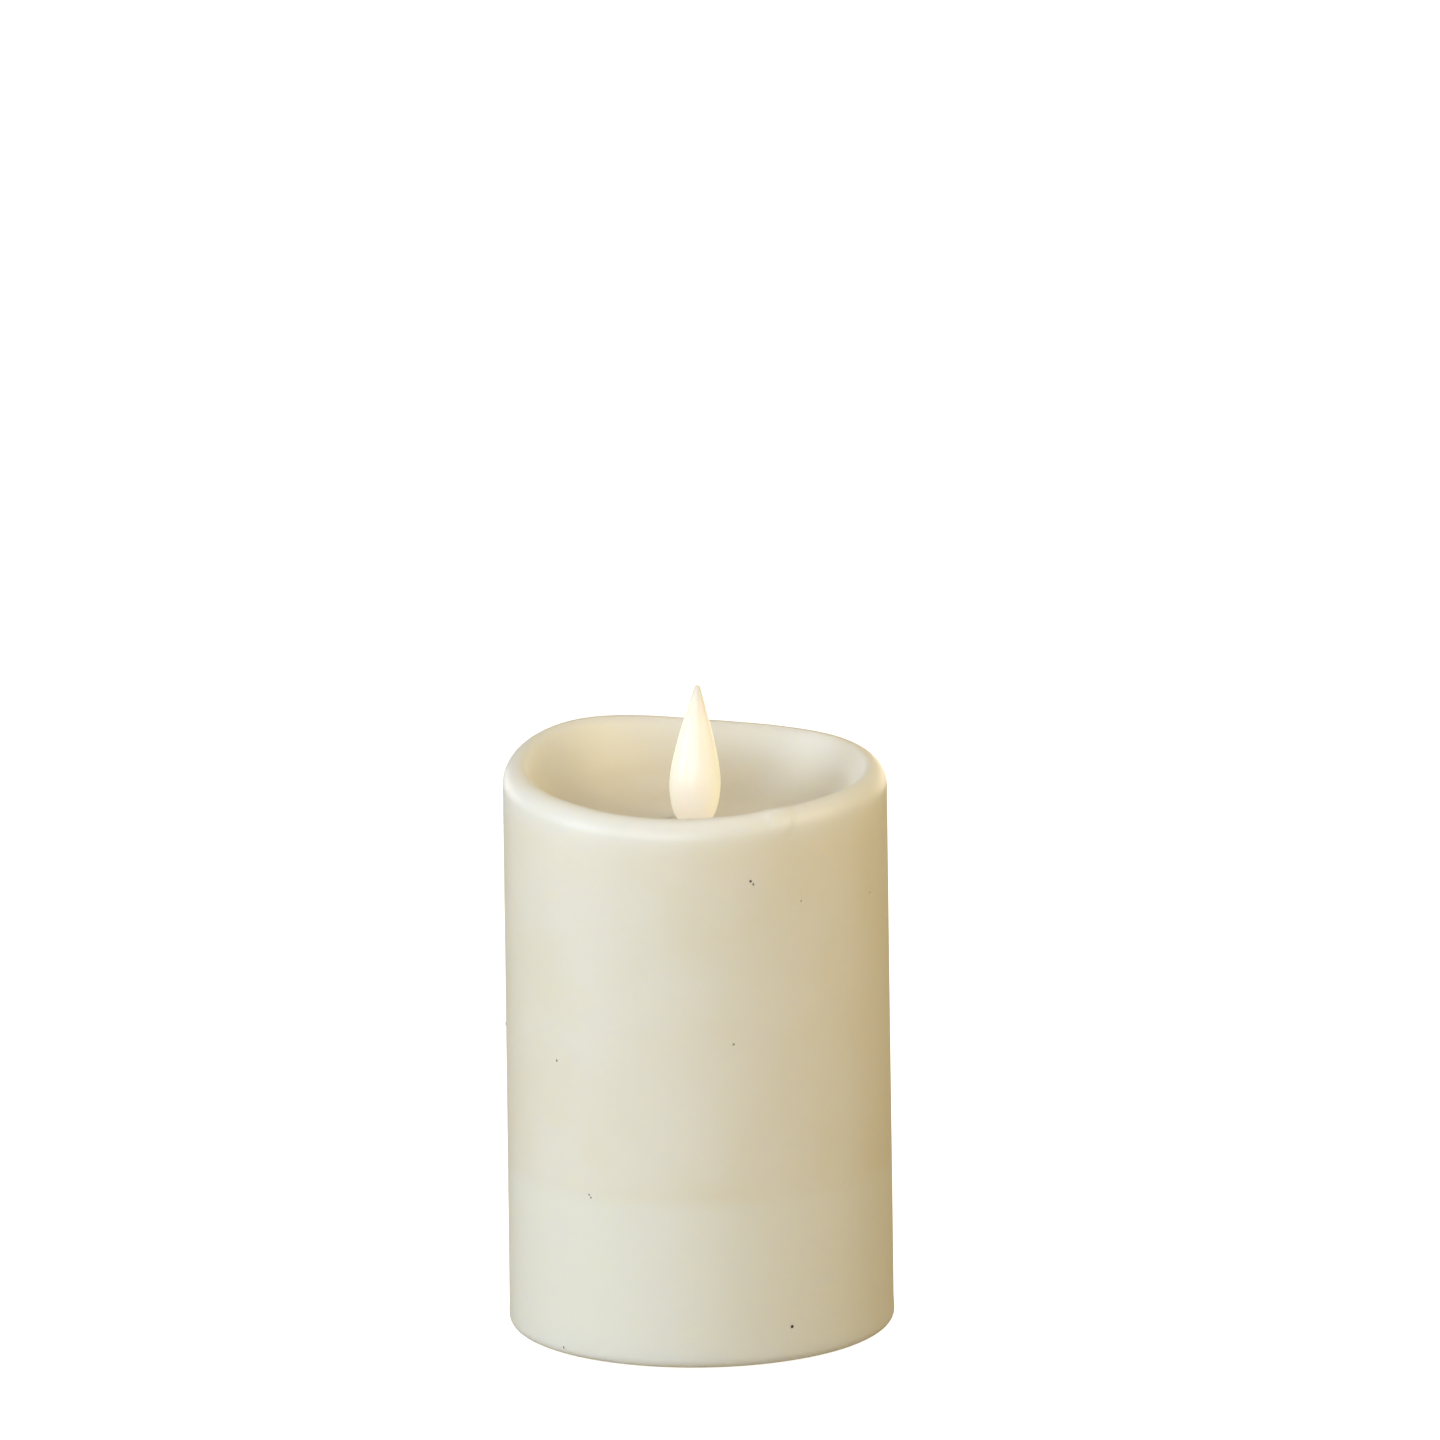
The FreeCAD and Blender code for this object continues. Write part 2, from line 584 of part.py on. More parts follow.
def make_battery_door():
    """Door plate with hinge pins on its rolled edge, stiffening ribs and a springy latch tongue."""
    top = BASE_FACE + DOOR_THICK
    across = (0, 1, 0)
    pin_reach = DOOR_Y + HINGE_PIN_LENGTH
    plate = slab(DOOR_X, DOOR_Y, BASE_FACE, top, DOOR_CORNER)
    plate = plate.cut(block(-DOOR_X - 1, HINGE_X, -DOOR_Y - 1, DOOR_Y + 1, 0, top + 1))
    roll = along(across, DOOR_THICK / 2, (HINGE_X, -DOOR_Y, HINGE_Z), 2 * DOOR_Y)
    pins = along(across, HINGE_PIN_RADIUS, (HINGE_X, -pin_reach, HINGE_Z), 2 * pin_reach)
    ribs = [block(x - DOOR_RIB_HALF, x + DOOR_RIB_HALF, -BAY_Y + 0.8, BAY_Y - 0.8, top - 0.3,
                  top + DOOR_RIB_HEIGHT) for x in DOOR_RIB_XS]
    grip_reach = LATCH_HALF_WIDTH - 1
    grips = [block(x - GRIP_HALF, x + GRIP_HALF, -grip_reach, grip_reach, BASE_FACE - GRIP_STAND,
                   BASE_FACE + 0.3) for x in GRIP_XS]
    nose = block(DOOR_X - 0.1 - LATCH_NOSE_DEPTH, DOOR_X - 0.1, -LATCH_NOSE_HALF, LATCH_NOSE_HALF,
                 top - 0.3, top + 0.02)
    door = joined([plate, roll, pins, *ribs, *grips, nose])
    for side in (-1, 1):
        near, far = sorted((side * LATCH_HALF_WIDTH, side * (LATCH_HALF_WIDTH + LATCH_SLIT)))
        door = door.cut(block(LATCH_ROOT_X, DOOR_X + 1, near, far, 0, top + 1))
    return door


def make_cover_screws():
    """Three self-tapping screws that hold the cover on the cup."""
    return Part.makeCompound([screw(COVER_TOP, COVER_SCREW_LENGTH, *around(POST_RING, angle))
                              for angle in POST_ANGLES])


def board_screw_places():
    """The two opposite corners of the board that are screwed down."""
    return ((-BOARD_FIXING_X, BOARD_FIXING_Y), (BOARD_FIXING_X, -BOARD_FIXING_Y))


def make_board_screws():
    """Two self-tapping screws that hold the board on its bosses."""
    return Part.makeCompound([screw(BOARD_TOP, BOARD_SCREW_LENGTH, x, y) for x, y in board_screw_places()])


def screw(seat, length, x, y):
    """Pan head screw with a cross recess; seat is the height of the surface under its head."""
    top = seat + SCREW_HEAD_HEIGHT
    head = rod(SCREW_HEAD_RADIUS, seat, top, x, y)
    head = head.makeFillet(0.5, [edge for edge in head.Edges if abs(edge.CenterOfMass.z - top) < 0.01])
    body = head.fuse(rod(SCREW_RADIUS, seat - length, seat, x, y))
    for half_x, half_y in (SCREW_CROSS, SCREW_CROSS[::-1]):
        body = body.cut(block(x - half_x, x + half_x, y - half_y, y + half_y, seat + 0.6, top + 1))
    return body


def make_foot_pads():
    """Four soft feet pressed into the recesses of the base."""
    pads = []
    for angle in FOOT_ANGLES:
        pad = rod(FOOT_RADIUS, 0, FOOT_THICK, *around(FOOT_RING, angle))
        lower_edge = [edge for edge in pad.Edges if abs(edge.CenterOfMass.z) < 0.01]
        pads.append(pad.makeFillet(FOOT_SOFT, lower_edge))
    return Part.makeCompound(pads)


def make_glue_beads():
    """Three pads of hot glue that hold the cup in the wax bore."""
    ring = tube(BORE_RADIUS, CUP_RADIUS, GLUE_BOTTOM, GLUE_TOP)
    beads = []
    for angle in GLUE_ANGLES:
        wedge = block(CUP_RADIUS - 4, BORE_RADIUS + 4, -GLUE_HALF_WIDTH, GLUE_HALF_WIDTH,
                      GLUE_BOTTOM - 1, GLUE_TOP + 1)
        wedge.rotate(V(0, 0, 0), UP, angle)
        beads.append(ring.common(wedge))
    return Part.makeCompound(beads)


# ---------------------------------------------------------------- cells and contacts
def make_cell():
    """AA cell lying along X with its cap towards -X, on the -Y side of the bay."""
    can = along((1, 0, 0), CELL_RADIUS, (-CELL_NOSE_X + CELL_NOSE, -CELL_Y, CELL_Z), CELL_CAN)
    return can.makeFillet(CELL_SOFT, [edge for edge in can.Edges if edge.Curve.TypeId == "Part::GeomCircle"])


def make_cell_cap():
    """Positive cap that stands out of the cell's end."""
    cap = along((1, 0, 0), CAP_RADIUS, (-CELL_NOSE_X, -CELL_Y, CELL_Z), CELL_NOSE)
    rim = [edge for edge in cap.Edges if abs(edge.CenterOfMass.x + CELL_NOSE_X) < 0.01]
    return cap.makeFillet(CELL_SOFT, rim)


def contact_plate(y0, y1):
    """Pressed contact strip against the bay's -X end wall."""
    return block(-BAY_X, -BAY_X + PLATE_THICK, y0, y1,
                 CELL_Z - PLATE_HALF_HEIGHT, CELL_Z + PLATE_HALF_HEIGHT)


def solder_tab(y):
    """Tab that carries a contact up through the bay's ceiling."""
    return block(-BAY_X, -BAY_X + PLATE_THICK, y - TAB_HALF_WIDTH, y + TAB_HALF_WIDTH, CELL_Z + 4, TAB_TOP)


def dimple(y):
    """Raised button that meets a cell's positive cap."""
    height = BAY_X - CELL_NOSE_X - PLATE_THICK - 0.05
    return Part.makeCone(*DIMPLE_RADII, height, V(-BAY_X + PLATE_THICK, y, CELL_Z), V(1, 0, 0))


def contact_spring():
    """Conical coil between the -X end wall's contact and the left cell's flat end."""
    cell_end = CELL_CAN - CELL_NOSE_X + CELL_NOSE
    run = BAY_X - PLATE_THICK - cell_end - 2 * (SPRING_WIRE + SPRING_GAP)
    steps = SPRING_TURNS * SPRING_STEPS
    points = []
    for step in range(steps + 1):
        turn = 2 * math.pi * step / SPRING_STEPS
        coil = SPRING_SMALL + (SPRING_LARGE - SPRING_SMALL) * step / steps
        x = -cell_end - SPRING_WIRE - SPRING_GAP - run * step / steps
        points.append((x, CELL_Y + coil * math.sin(turn), CELL_Z + coil * math.cos(turn)))
    return bent_wire("contact_spring", points, SPRING_WIRE)


# ---------------------------------------------------------------- circuit board
def make_circuit_board():
    """Board with two screw holes and the pads' plated holes."""
    board = slab(BOARD_X, BOARD_Y, BOARD_Z, BOARD_TOP, 2.0)
    for x, y in board_screw_places():
        board = board.cut(rod(PASS_RADIUS, BOARD_Z - 1, BOARD_TOP + 1, x, y))
    return board


def make_timer_chip():
    """Eight-legged timer chip body."""
    top = BOARD_TOP + CHIP_TOP
    chip = slab(CHIP_HALF_WIDTH, CHIP_HALF_LENGTH, BOARD_TOP + CHIP_UNDER, top, 0.2, CHIP_X, 0)
    return chip.cut(rod(0.7, top - 0.4, top + 1, CHIP_X, CHIP_HALF_LENGTH - 0.9))


def make_chip_legs():
    """The chip's legs: out of its sides and down to the board."""
    legs = []
    for side in (-1, 1):
        edge = CHIP_X + side * CHIP_HALF_WIDTH
        outer = edge + side * LEG_OUT
        for row in range(4):
            y = (row - 1.5) * CHIP_PITCH
            low, high = sorted((edge, outer))
            shelf = block(low, high, y - LEG_HALF_WIDTH, y + LEG_HALF_WIDTH,
                          BOARD_TOP + LEG_SHELF - LEG_THICK, BOARD_TOP + LEG_SHELF)
            low, high = sorted((outer - side * LEG_THICK, outer))
            shank = block(low, high, y - LEG_HALF_WIDTH, y + LEG_HALF_WIDTH,
                          BOARD_TOP, BOARD_TOP + LEG_SHELF - LEG_THICK + 0.1)
            legs.append(joined([shelf, shank]))
    return Part.makeCompound(legs)


def make_crystal_can():
    """Small watch crystal lying on the board."""
    start = (*CRYSTAL_PLACE, BOARD_TOP + CRYSTAL_RADIUS + 0.02)
    can = along((0, 1, 0), CRYSTAL_RADIUS, start, CRYSTAL_LENGTH)
    return can.makeFillet(0.25, can.Edges)


def make_resistors():
    """Three axial resistors, waisted bodies on bent leads."""
    solids = []
    for x in RESISTOR_XS:
        axis_z = BOARD_TOP + RESISTOR_LIFT
        body = along((0, 1, 0), RESISTOR_RADIUS, (x, RESISTOR_Y[0], axis_z), RESISTOR_Y[1] - RESISTOR_Y[0])
        lead_start = RESISTOR_LEG_Y[0] - 0.2
        lead_length = RESISTOR_LEG_Y[1] + 0.2 - lead_start
        lead = along((0, 1, 0), LEAD_RADIUS, (x, lead_start, axis_z), lead_length)
        legs = [rod(LEAD_RADIUS, BOARD_TOP, axis_z + 0.2, x, y) for y in RESISTOR_LEG_Y]
        solids.append(joined([body, *legs, lead]))
    return Part.makeCompound(solids)


def make_capacitor():
    """Upright electrolytic capacitor with a crimped foot."""
    foot = BOARD_TOP + 0.1
    can = rod(CAPACITOR_RADIUS, foot, foot + CAPACITOR_HEIGHT, CAPACITOR_X, CAPACITOR_Y)
    can = can.makeFillet(0.4, [edge for edge in can.Edges if edge.Curve.TypeId == "Part::GeomCircle"])
    groove = Part.makeTorus(CAPACITOR_RADIUS + 0.25, 0.45, V(CAPACITOR_X, CAPACITOR_Y, foot + 1.3), UP)
    return can.cut(groove)


def make_solder_joints():
    """Domes of solder where the wires land on the board."""
    joints = []
    for x, y in solder_places():
        dome = Part.makeCone(SOLDER_FOOT, SOLDER_CROWN, SOLDER_HEIGHT, V(x, y, BOARD_TOP), UP)
        joints.append(dome.cut(rod(WIRE_RADIUS + 0.05, BOARD_TOP + JOINT_HOLLOW, BOARD_TOP + 2, x, y)))
    return Part.makeCompound(joints)


def solder_places():
    """Wire pads on the board: two for the cells, two for the LED and three for the switch."""
    cells = [(CELL_PAD_X, -CELL_PAD_Y), (CELL_PAD_X, CELL_PAD_Y)]
    lamp = [(LAMP_PAD_X, -LAMP_PAD_Y), (LAMP_PAD_X, LAMP_PAD_Y)]
    switch = [(x, SWITCH_PAD_Y) for x in PIN_XS[:3]]
    return cells + lamp + switch


# ---------------------------------------------------------------- slide switch
def make_switch_case():
    """Switch case: a shallow box, open at its slot, closed on top by its pin plate."""
    half_x = SWITCH_LENGTH / 2
    half_y = SWITCH_WIDTH / 2
    top = SWITCH_FLOOR + SWITCH_HEIGHT
    case = block(-half_x, half_x, SWITCH_Y - half_y, SWITCH_Y + half_y, SWITCH_FLOOR, top)
    case = case.cut(block(-half_x + SWITCH_SKIN, half_x - SWITCH_SKIN, SWITCH_Y - half_y + SWITCH_SKIN,
                          SWITCH_Y + half_y - SWITCH_SKIN, SWITCH_FLOOR + SWITCH_SKIN, top - SWITCH_LID))
    return case.cut(block(-SLOT_X, SLOT_X, SWITCH_Y - SLOT_Y, SWITCH_Y + SLOT_Y, 0, SWITCH_FLOOR + 1))


def make_switch_slider():
    """Ridged knob that hangs in the pocket, with its flange inside the case."""
    flange_bottom = SWITCH_FLOOR + SWITCH_SKIN + 0.1
    flange = block(-SLIDER_FLANGE_X, SLIDER_FLANGE_X, SWITCH_Y - SLIDER_FLANGE_Y, SWITCH_Y + SLIDER_FLANGE_Y,
                   flange_bottom, flange_bottom + SLIDER_FLANGE_THICK)
    half_x = KNOB_LENGTH / 2
    half_y = KNOB_WIDTH / 2
    knob = block(-half_x, half_x, SWITCH_Y - half_y, SWITCH_Y + half_y, KNOB_BOTTOM, flange_bottom + 0.5)
    slider = joined([flange, knob])
    for x in KNOB_GROOVE_XS:
        slider = slider.cut(block(x - 0.25, x + 0.25, SWITCH_Y - KNOB_WIDTH, SWITCH_Y + KNOB_WIDTH,
                                  0, KNOB_BOTTOM + 0.4))
    return slider


def make_switch_pins():
    """Four terminals on top of the switch."""
    top = SWITCH_FLOOR + SWITCH_HEIGHT
    pins = [block(x - PIN_HALF_WIDTH, x + PIN_HALF_WIDTH, SWITCH_Y - PIN_HALF_LENGTH,
                  SWITCH_Y + PIN_HALF_LENGTH, top, top + SWITCH_PIN_HEIGHT) for x in PIN_XS]
    return Part.makeCompound(pins)


# ---------------------------------------------------------------- assembly
def cell_wire(side):
    """Route of the wire from a contact's tab over the bay to the board."""
    y = side * CELL_Y
    pad_y = side * CELL_PAD_Y
    tab_x = -BAY_X + PLATE_THICK / 2
    return ((tab_x, y, TAB_TOP), (tab_x, y, TAB_TOP + 5), (-23.5, 0.5 * (y + pad_y), 31.6),
            (CELL_PAD_X, pad_y, 31.2), (CELL_PAD_X, pad_y, BOARD_TOP + JOINT_HOLLOW))


def switch_wire(x):
    """Route of the wire from a switch terminal up and back to the board."""
    pin_top = SWITCH_FLOOR + SWITCH_HEIGHT + SWITCH_PIN_HEIGHT
    return ((x, SWITCH_Y, pin_top), (x, SWITCH_Y, 21.5), (x, SWITCH_Y + 4.5, 29.5), (x, -13.5, 33.0),
            (x, SWITCH_PAD_Y, 31.0), (x, SWITCH_PAD_Y, BOARD_TOP + JOINT_HOLLOW))


def lamp_wire(side, lead_end):
    """Route of the wire from an LED leg down the stem to the board."""
    leg_y = side * LED_LEG_Y
    pad_y = side * LAMP_PAD_Y
    return ((0, leg_y, lead_end), (0, leg_y, 80.0), (0.5, side * 1.5, 62.0), (-0.2, side * 0.9, 46.0),
            (0.4, side * 1.6, 36.5), (LAMP_PAD_X, pad_y, 31.0),
            (LAMP_PAD_X, pad_y, BOARD_TOP + JOINT_HOLLOW))


def make_wires():
    """Insulated wires between the contacts, the switch, the board and the LED."""
    routes = {
        "battery_wire_red": cell_wire(-1),
        "battery_wire_black": cell_wire(1),
        "led_wire_red": lamp_wire(1, LED_LEG_LONG),
        "led_wire_black": lamp_wire(-1, LED_LEG_SHORT)}
    for name, x in zip(("switch_wire_common", "switch_wire_on", "switch_wire_timer"), PIN_XS):
        routes[name] = switch_wire(x)
    for name, route in routes.items():
        pieces[name] = bent_wire(name, route, WIRE_RADIUS)


def build():
    """Make every piece and keep it under its node's name."""
    pieces["wax_shell"] = make_wax_shell()
    pieces["flame_shell"] = make_flame_shell()
    pieces["flame_seat"] = make_flame_seat()
    pieces["stem_tube"] = make_stem_tube()
    pieces["led_lens"] = make_led_lens()
    pieces["led_leads"] = make_led_leads()
    pieces["base_cup"] = make_base_cup()
    pieces["base_cover"] = make_base_cover()
    pieces["cover_screws"] = make_cover_screws()
    pieces["foot_pads"] = make_foot_pads()
    pieces["glue_beads"] = make_glue_beads()
    pieces["battery_door"] = make_battery_door()
    pieces["battery_right"] = make_cell()
    pieces["battery_left"] = turned_half(make_cell())
    pieces["battery_caps"] = Part.makeCompound([make_cell_cap(), turned_half(make_cell_cap())])
    near, far = PLATE_Y
    pieces["contact_positive"] = joined([contact_plate(-far, -near), solder_tab(-CELL_Y), dimple(-CELL_Y)])
    pieces["contact_negative"] = joined([contact_plate(near, far), solder_tab(CELL_Y)])
    pieces["contact_bridge"] = turned_half(joined([contact_plate(-far, far), dimple(-CELL_Y)]))
    pieces["contact_spring"] = contact_spring()
    pieces["bridge_spring"] = turned_half(pieces["contact_spring"])
    pieces["circuit_board"] = make_circuit_board()
    pieces["board_screws"] = make_board_screws()
    pieces["timer_chip"] = make_timer_chip()
    pieces["chip_legs"] = make_chip_legs()
    pieces["crystal_can"] = make_crystal_can()
    pieces["resistors"] = make_resistors()
    pieces["capacitor"] = make_capacitor()
    pieces["solder_joints"] = make_solder_joints()
    pieces["switch_case"] = make_switch_case()
    pieces["switch_slider"] = make_switch_slider()
    pieces["switch_pins"] = make_switch_pins()
    make_wires()


build()
os.makedirs("parts", exist_ok=True)
for node, shape in pieces.items():
    shape.exportStep(f"parts/{node}.step")
    box = shape.BoundBox
    print(f"{node}: {len(shape.Solids)} solids, valid {shape.isValid()}, {shape.Volume / 1000:.2f} cm3,"
          f" x {box.XMin:.2f} {box.XMax:.2f}, y {box.YMin:.2f} {box.YMax:.2f},"
          f" z {box.ZMin:.2f} {box.ZMax:.2f}")
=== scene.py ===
# %% [markdown]
# # A flameless LED candle
# The object is a cast wax pillar with a melted-looking rim. A plastic flame stands in its bowl, and a
# battery base closes it from below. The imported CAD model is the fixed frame, so it is loaded first.

# %% Load the frame
import math
import bmesh
import bpy
from mathutils import Matrix, Vector, noise


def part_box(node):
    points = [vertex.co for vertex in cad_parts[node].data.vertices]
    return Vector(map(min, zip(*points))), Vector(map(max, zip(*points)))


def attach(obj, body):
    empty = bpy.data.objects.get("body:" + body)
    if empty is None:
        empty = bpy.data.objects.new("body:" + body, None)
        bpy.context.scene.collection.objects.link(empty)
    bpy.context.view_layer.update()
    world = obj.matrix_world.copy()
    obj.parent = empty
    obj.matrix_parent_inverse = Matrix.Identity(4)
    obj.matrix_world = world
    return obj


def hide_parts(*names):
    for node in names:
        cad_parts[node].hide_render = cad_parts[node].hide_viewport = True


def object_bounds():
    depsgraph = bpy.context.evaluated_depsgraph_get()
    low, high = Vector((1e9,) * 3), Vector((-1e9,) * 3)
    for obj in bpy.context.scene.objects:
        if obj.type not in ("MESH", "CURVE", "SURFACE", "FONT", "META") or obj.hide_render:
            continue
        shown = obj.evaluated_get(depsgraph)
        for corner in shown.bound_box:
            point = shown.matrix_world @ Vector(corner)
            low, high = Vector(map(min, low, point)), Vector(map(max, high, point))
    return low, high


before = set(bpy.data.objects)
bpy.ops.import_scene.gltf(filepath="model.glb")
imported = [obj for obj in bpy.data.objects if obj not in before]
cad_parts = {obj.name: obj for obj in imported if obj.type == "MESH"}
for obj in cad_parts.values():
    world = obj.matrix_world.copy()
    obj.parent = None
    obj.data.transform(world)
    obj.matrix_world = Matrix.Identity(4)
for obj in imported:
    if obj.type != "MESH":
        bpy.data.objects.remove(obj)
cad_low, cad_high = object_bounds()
MM = 0.001
print("CAD box in mm:", [round(v / MM, 2) for v in (*cad_low, *cad_high)])

# %% [markdown]
# ## The camera
# A long lens from far away keeps the pillar's two sides nearly parallel, where a short lens close by
# would make the foot look smaller than the rim. The camera stands thirty candle widths off, looks down
# a little into the bowl, and is rolled by less than a degree. It aims beside and above the foot, which
# leaves white paper round the candle. The aim is measured in the camera's own right and up directions,
# so the framing stays easy to change.

# %% Camera
CANDLE_WIDTH = cad_high.x - cad_low.x
FOOT_LIFT = 0.8 * MM
CAMERA_DISTANCE = 30 * CANDLE_WIDTH
PITCH = math.radians(12.39)
ROLL = math.radians(-0.74)
AIM_RIGHT = 5.5 * MM
AIM_UP = 128.1 * MM
camera_data = bpy.data.cameras.new("camera")
camera_data.lens = 288.7
camera_data.sensor_width = 36.0
camera_data.clip_end = 50.0
camera = bpy.data.objects.new("camera", camera_data)
bpy.context.scene.collection.objects.link(camera)
forward = Vector((0, math.cos(PITCH), -math.sin(PITCH)))
upward = Vector((0, math.sin(PITCH), math.cos(PITCH)))
level_right = Vector((1, 0, 0))
right = math.cos(ROLL) * level_right + math.sin(ROLL) * upward
top = math.cos(ROLL) * upward - math.sin(ROLL) * level_right
turn = Matrix((right, top, -forward)).transposed().to_4x4()
aim = Vector((0, 0, FOOT_LIFT)) + AIM_RIGHT * level_right + AIM_UP * upward
camera.matrix_world = Matrix.Translation(aim - CAMERA_DISTANCE * forward) @ turn
bpy.context.scene.camera = camera
print("camera at", [round(v, 3) for v in camera.matrix_world.translation])

# %% [markdown]
# ## Colours and shader nodes
# Colours are written as sRGB hex, the way a paint chart gives them, and one function turns them to the
# linear values that the shaders expect. One more function adds a node of any kind: it sets the node's
# properties, fills or links its inputs, and gives a colour ramp its stops. A Mix node has sockets for
# numbers and for colours under the same names, so its colour sockets are called by number.

# %% Colour and node helpers
MIX_A, MIX_B, MIXED = 6, 7, 2


def linear(code):
    """sRGB hex such as "F0E8D8" to linear RGBA."""
    channels = [int(code[i:i + 2], 16) / 255 for i in (0, 2, 4)]
    return (*(c / 12.92 if c <= 0.04045 else ((c + 0.055) / 1.055) ** 2.4 for c in channels), 1.0)


def add_node(tree, kind, inputs=None, stops=(), **settings):
    """Adds a node with its settings and links; an input that is given a socket is linked to it."""
    node = tree.nodes.new("ShaderNode" + kind)
    for key, value in settings.items():
        setattr(node, key, value)
    for key, value in (inputs or {}).items():
        if isinstance(value, bpy.types.NodeSocket):
            tree.links.new(value, node.inputs[key])
        else:
            node.inputs[key].default_value = value
    for number, (position, code) in enumerate(stops):
        elements = node.color_ramp.elements
        element = elements[number] if number < len(elements) else elements.new(position)
        element.position = position
        element.color = linear(code)
    return node


def new_material(name, **shader_inputs):
    """A material with one Principled shader; underscores in the names of its inputs become spaces."""
    material = bpy.data.materials.new(name)
    material.use_nodes = True
    tree = material.node_tree
    tree.nodes.clear()
    inputs = {key.replace("_", " "): value for key, value in shader_inputs.items()}
    shader = add_node(tree, "BsdfPrincipled", inputs)
    add_node(tree, "OutputMaterial", {"Surface": shader.outputs["BSDF"]})
    return material, tree, shader


print("ivory in linear light:", [round(v, 3) for v in linear("E6E1D3")[:3]])

# %% [markdown]
# ## Building meshes ring by ring
# Most of this object was cast or turned, so its pieces are closed rings of points stacked into a skin.
# A grid of quads from such rings shades smoothly and can be pushed about point by point afterwards,
# which a boolean or a sculpt in the viewport would make harder to repeat.

# %% Mesh helpers
def finish_mesh(piece_mesh, name, material, body):
    """Turns a bmesh into a smooth-shaded piece that rides on a body."""
    data = bpy.data.meshes.new(name)
    bmesh.ops.recalc_face_normals(piece_mesh, faces=piece_mesh.faces)
    for face in piece_mesh.faces:
        face.smooth = True
    piece_mesh.to_mesh(data)
    piece_mesh.free()
    data.materials.append(material)
    piece = bpy.data.objects.new(name, data)
    bpy.context.scene.collection.objects.link(piece)
    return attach(piece, body)


def ring_skin(rows, closed=True):
    """Skin over rows of points, where every row has the same count of points round the axis."""
    skin = bmesh.new()
    grid = [[skin.verts.new(point) for point in row] for row in rows]
    count = len(grid[0])
    pairs = list(zip(grid, grid[1:])) + ([(grid[-1], grid[0])] if closed else [])
    for lower, upper in pairs:
        for i in range(count):
            j = (i + 1) % count
            skin.faces.new((lower[i], lower[j], upper[j], upper[i]))
    return skin


def smooth_step(value, low, high):
    """Smooth 0 to 1 as a value goes from low to high."""
    t = min(1.0, max(0.0, (value - low) / (high - low)))
    return t * t * (3 - 2 * t)


print("a smooth step halfway:", smooth_step(0.5, 0, 1))

# %% [markdown]
# ## The wax pillar
# The pillar is paraffin cast in a straight mould, then melted back at the top with warm air, which
# leaves a rim that rises and falls round the candle. Four cosine waves give that rise: one tips the
# whole rim up at the back left, and three smaller ones make it uneven. The straight wall narrows
# slightly upwards, because a casting needs that draft to leave its mould.

# %% The rim's height
WAX_RADIUS = min(-cad_low.x, -cad_low.y, cad_high.x, cad_high.y) - 0.01 * MM
WAX_DRAFT = 0.0038
FOOT_ROUND = 2.0 * MM
RIM_MEAN = 122.4 * MM
RIM_WAVES = ((1, 3.0, 105.0), (2, 1.0, 149.0), (3, 0.3, 21.0), (4, 0.3, 39.0))  # waves, mm, crest angle
CREST_RADIUS = 37.0 * MM
OUTER_ROUND = 4.2 * MM
BOWL_SHOULDER = 33.4 * MM
BOWL_HEEL = 34.2 * MM
FLOOR_RADIUS = 20.0 * MM
FLOOR_HEIGHT = 110.1 * MM
BORE_RADIUS = 34.5 * MM
BORE_TOP = 102.0 * MM
BORE_ROUND = 5.0 * MM
HOLE_RADIUS = 6.1 * MM
HOLE_ROUND = 0.5 * MM
RECESS_RADIUS = 37.9 * MM
RECESS_TOP = 2.5 * MM


def rim_height(angle):
    """Height of the crest at an angle in radians from +X."""
    return RIM_MEAN + sum(size * MM * math.cos(count * (angle - math.radians(crest)))
                          for count, size, crest in RIM_WAVES)


def wall_radius(height):
    """Outside radius of the straight wall."""
    return WAX_RADIUS - WAX_DRAFT * (height - FOOT_LIFT)


print("rim from", round(min(rim_height(math.radians(a)) for a in range(360)) / MM, 1),
      "to", round(max(rim_height(math.radians(a)) for a in range(360)) / MM, 1), "mm")

# %% [markdown]
# ## The outline at one angle
# Each angle has its own outline from the foot, up the wall, over the rim, down into the bowl, through
# the flame's hole and back down the hollow inside. Quarter waves make the roundings, and one S-shaped
# curve makes the bowl's side, because wax that has run has no corners. The rows crowd together where
# the outline bends and spread out where it is straight.

# %% The pillar's outline
FOOT_STEPS = 8
WALL_STEPS = 120
ROUND_STEPS = 14
BOWL_STEPS = 36


def quarter(start, end, steps, first):
    """Points on a quarter ellipse from start to end; first says which way it sets off."""
    points = []
    for step in range(1, steps + 1):
        a = math.pi / 2 * step / steps
        out, up = (1 - math.cos(a), math.sin(a)) if first == "up" else (math.sin(a), 1 - math.cos(a))
        points.append((start[0] + out * (end[0] - start[0]), start[1] + up * (end[1] - start[1])))
    return points


def bowl_side(crest, steps):
    """Points from the crest to the bowl's flat floor: an S-shaped cubic curve, level at both ends."""
    handle_radii = (CREST_RADIUS, BOWL_SHOULDER, BOWL_HEEL, FLOOR_RADIUS)
    handle_heights = (crest, crest, FLOOR_HEIGHT, FLOOR_HEIGHT)
    points = []
    for step in range(1, steps + 1):
        t = step / steps
        weights = ((1 - t) ** 3, 3 * t * (1 - t) ** 2, 3 * t ** 2 * (1 - t), t ** 3)
        points.append((sum(w * r for w, r in zip(weights, handle_radii)),
                       sum(w * z for w, z in zip(weights, handle_heights))))
    return points


def straight(start, end, steps):
    """Evenly spaced points from start to end, without the start."""
    return [(start[0] + (end[0] - start[0]) * s / steps, start[1] + (end[1] - start[1]) * s / steps)
            for s in range(1, steps + 1)]


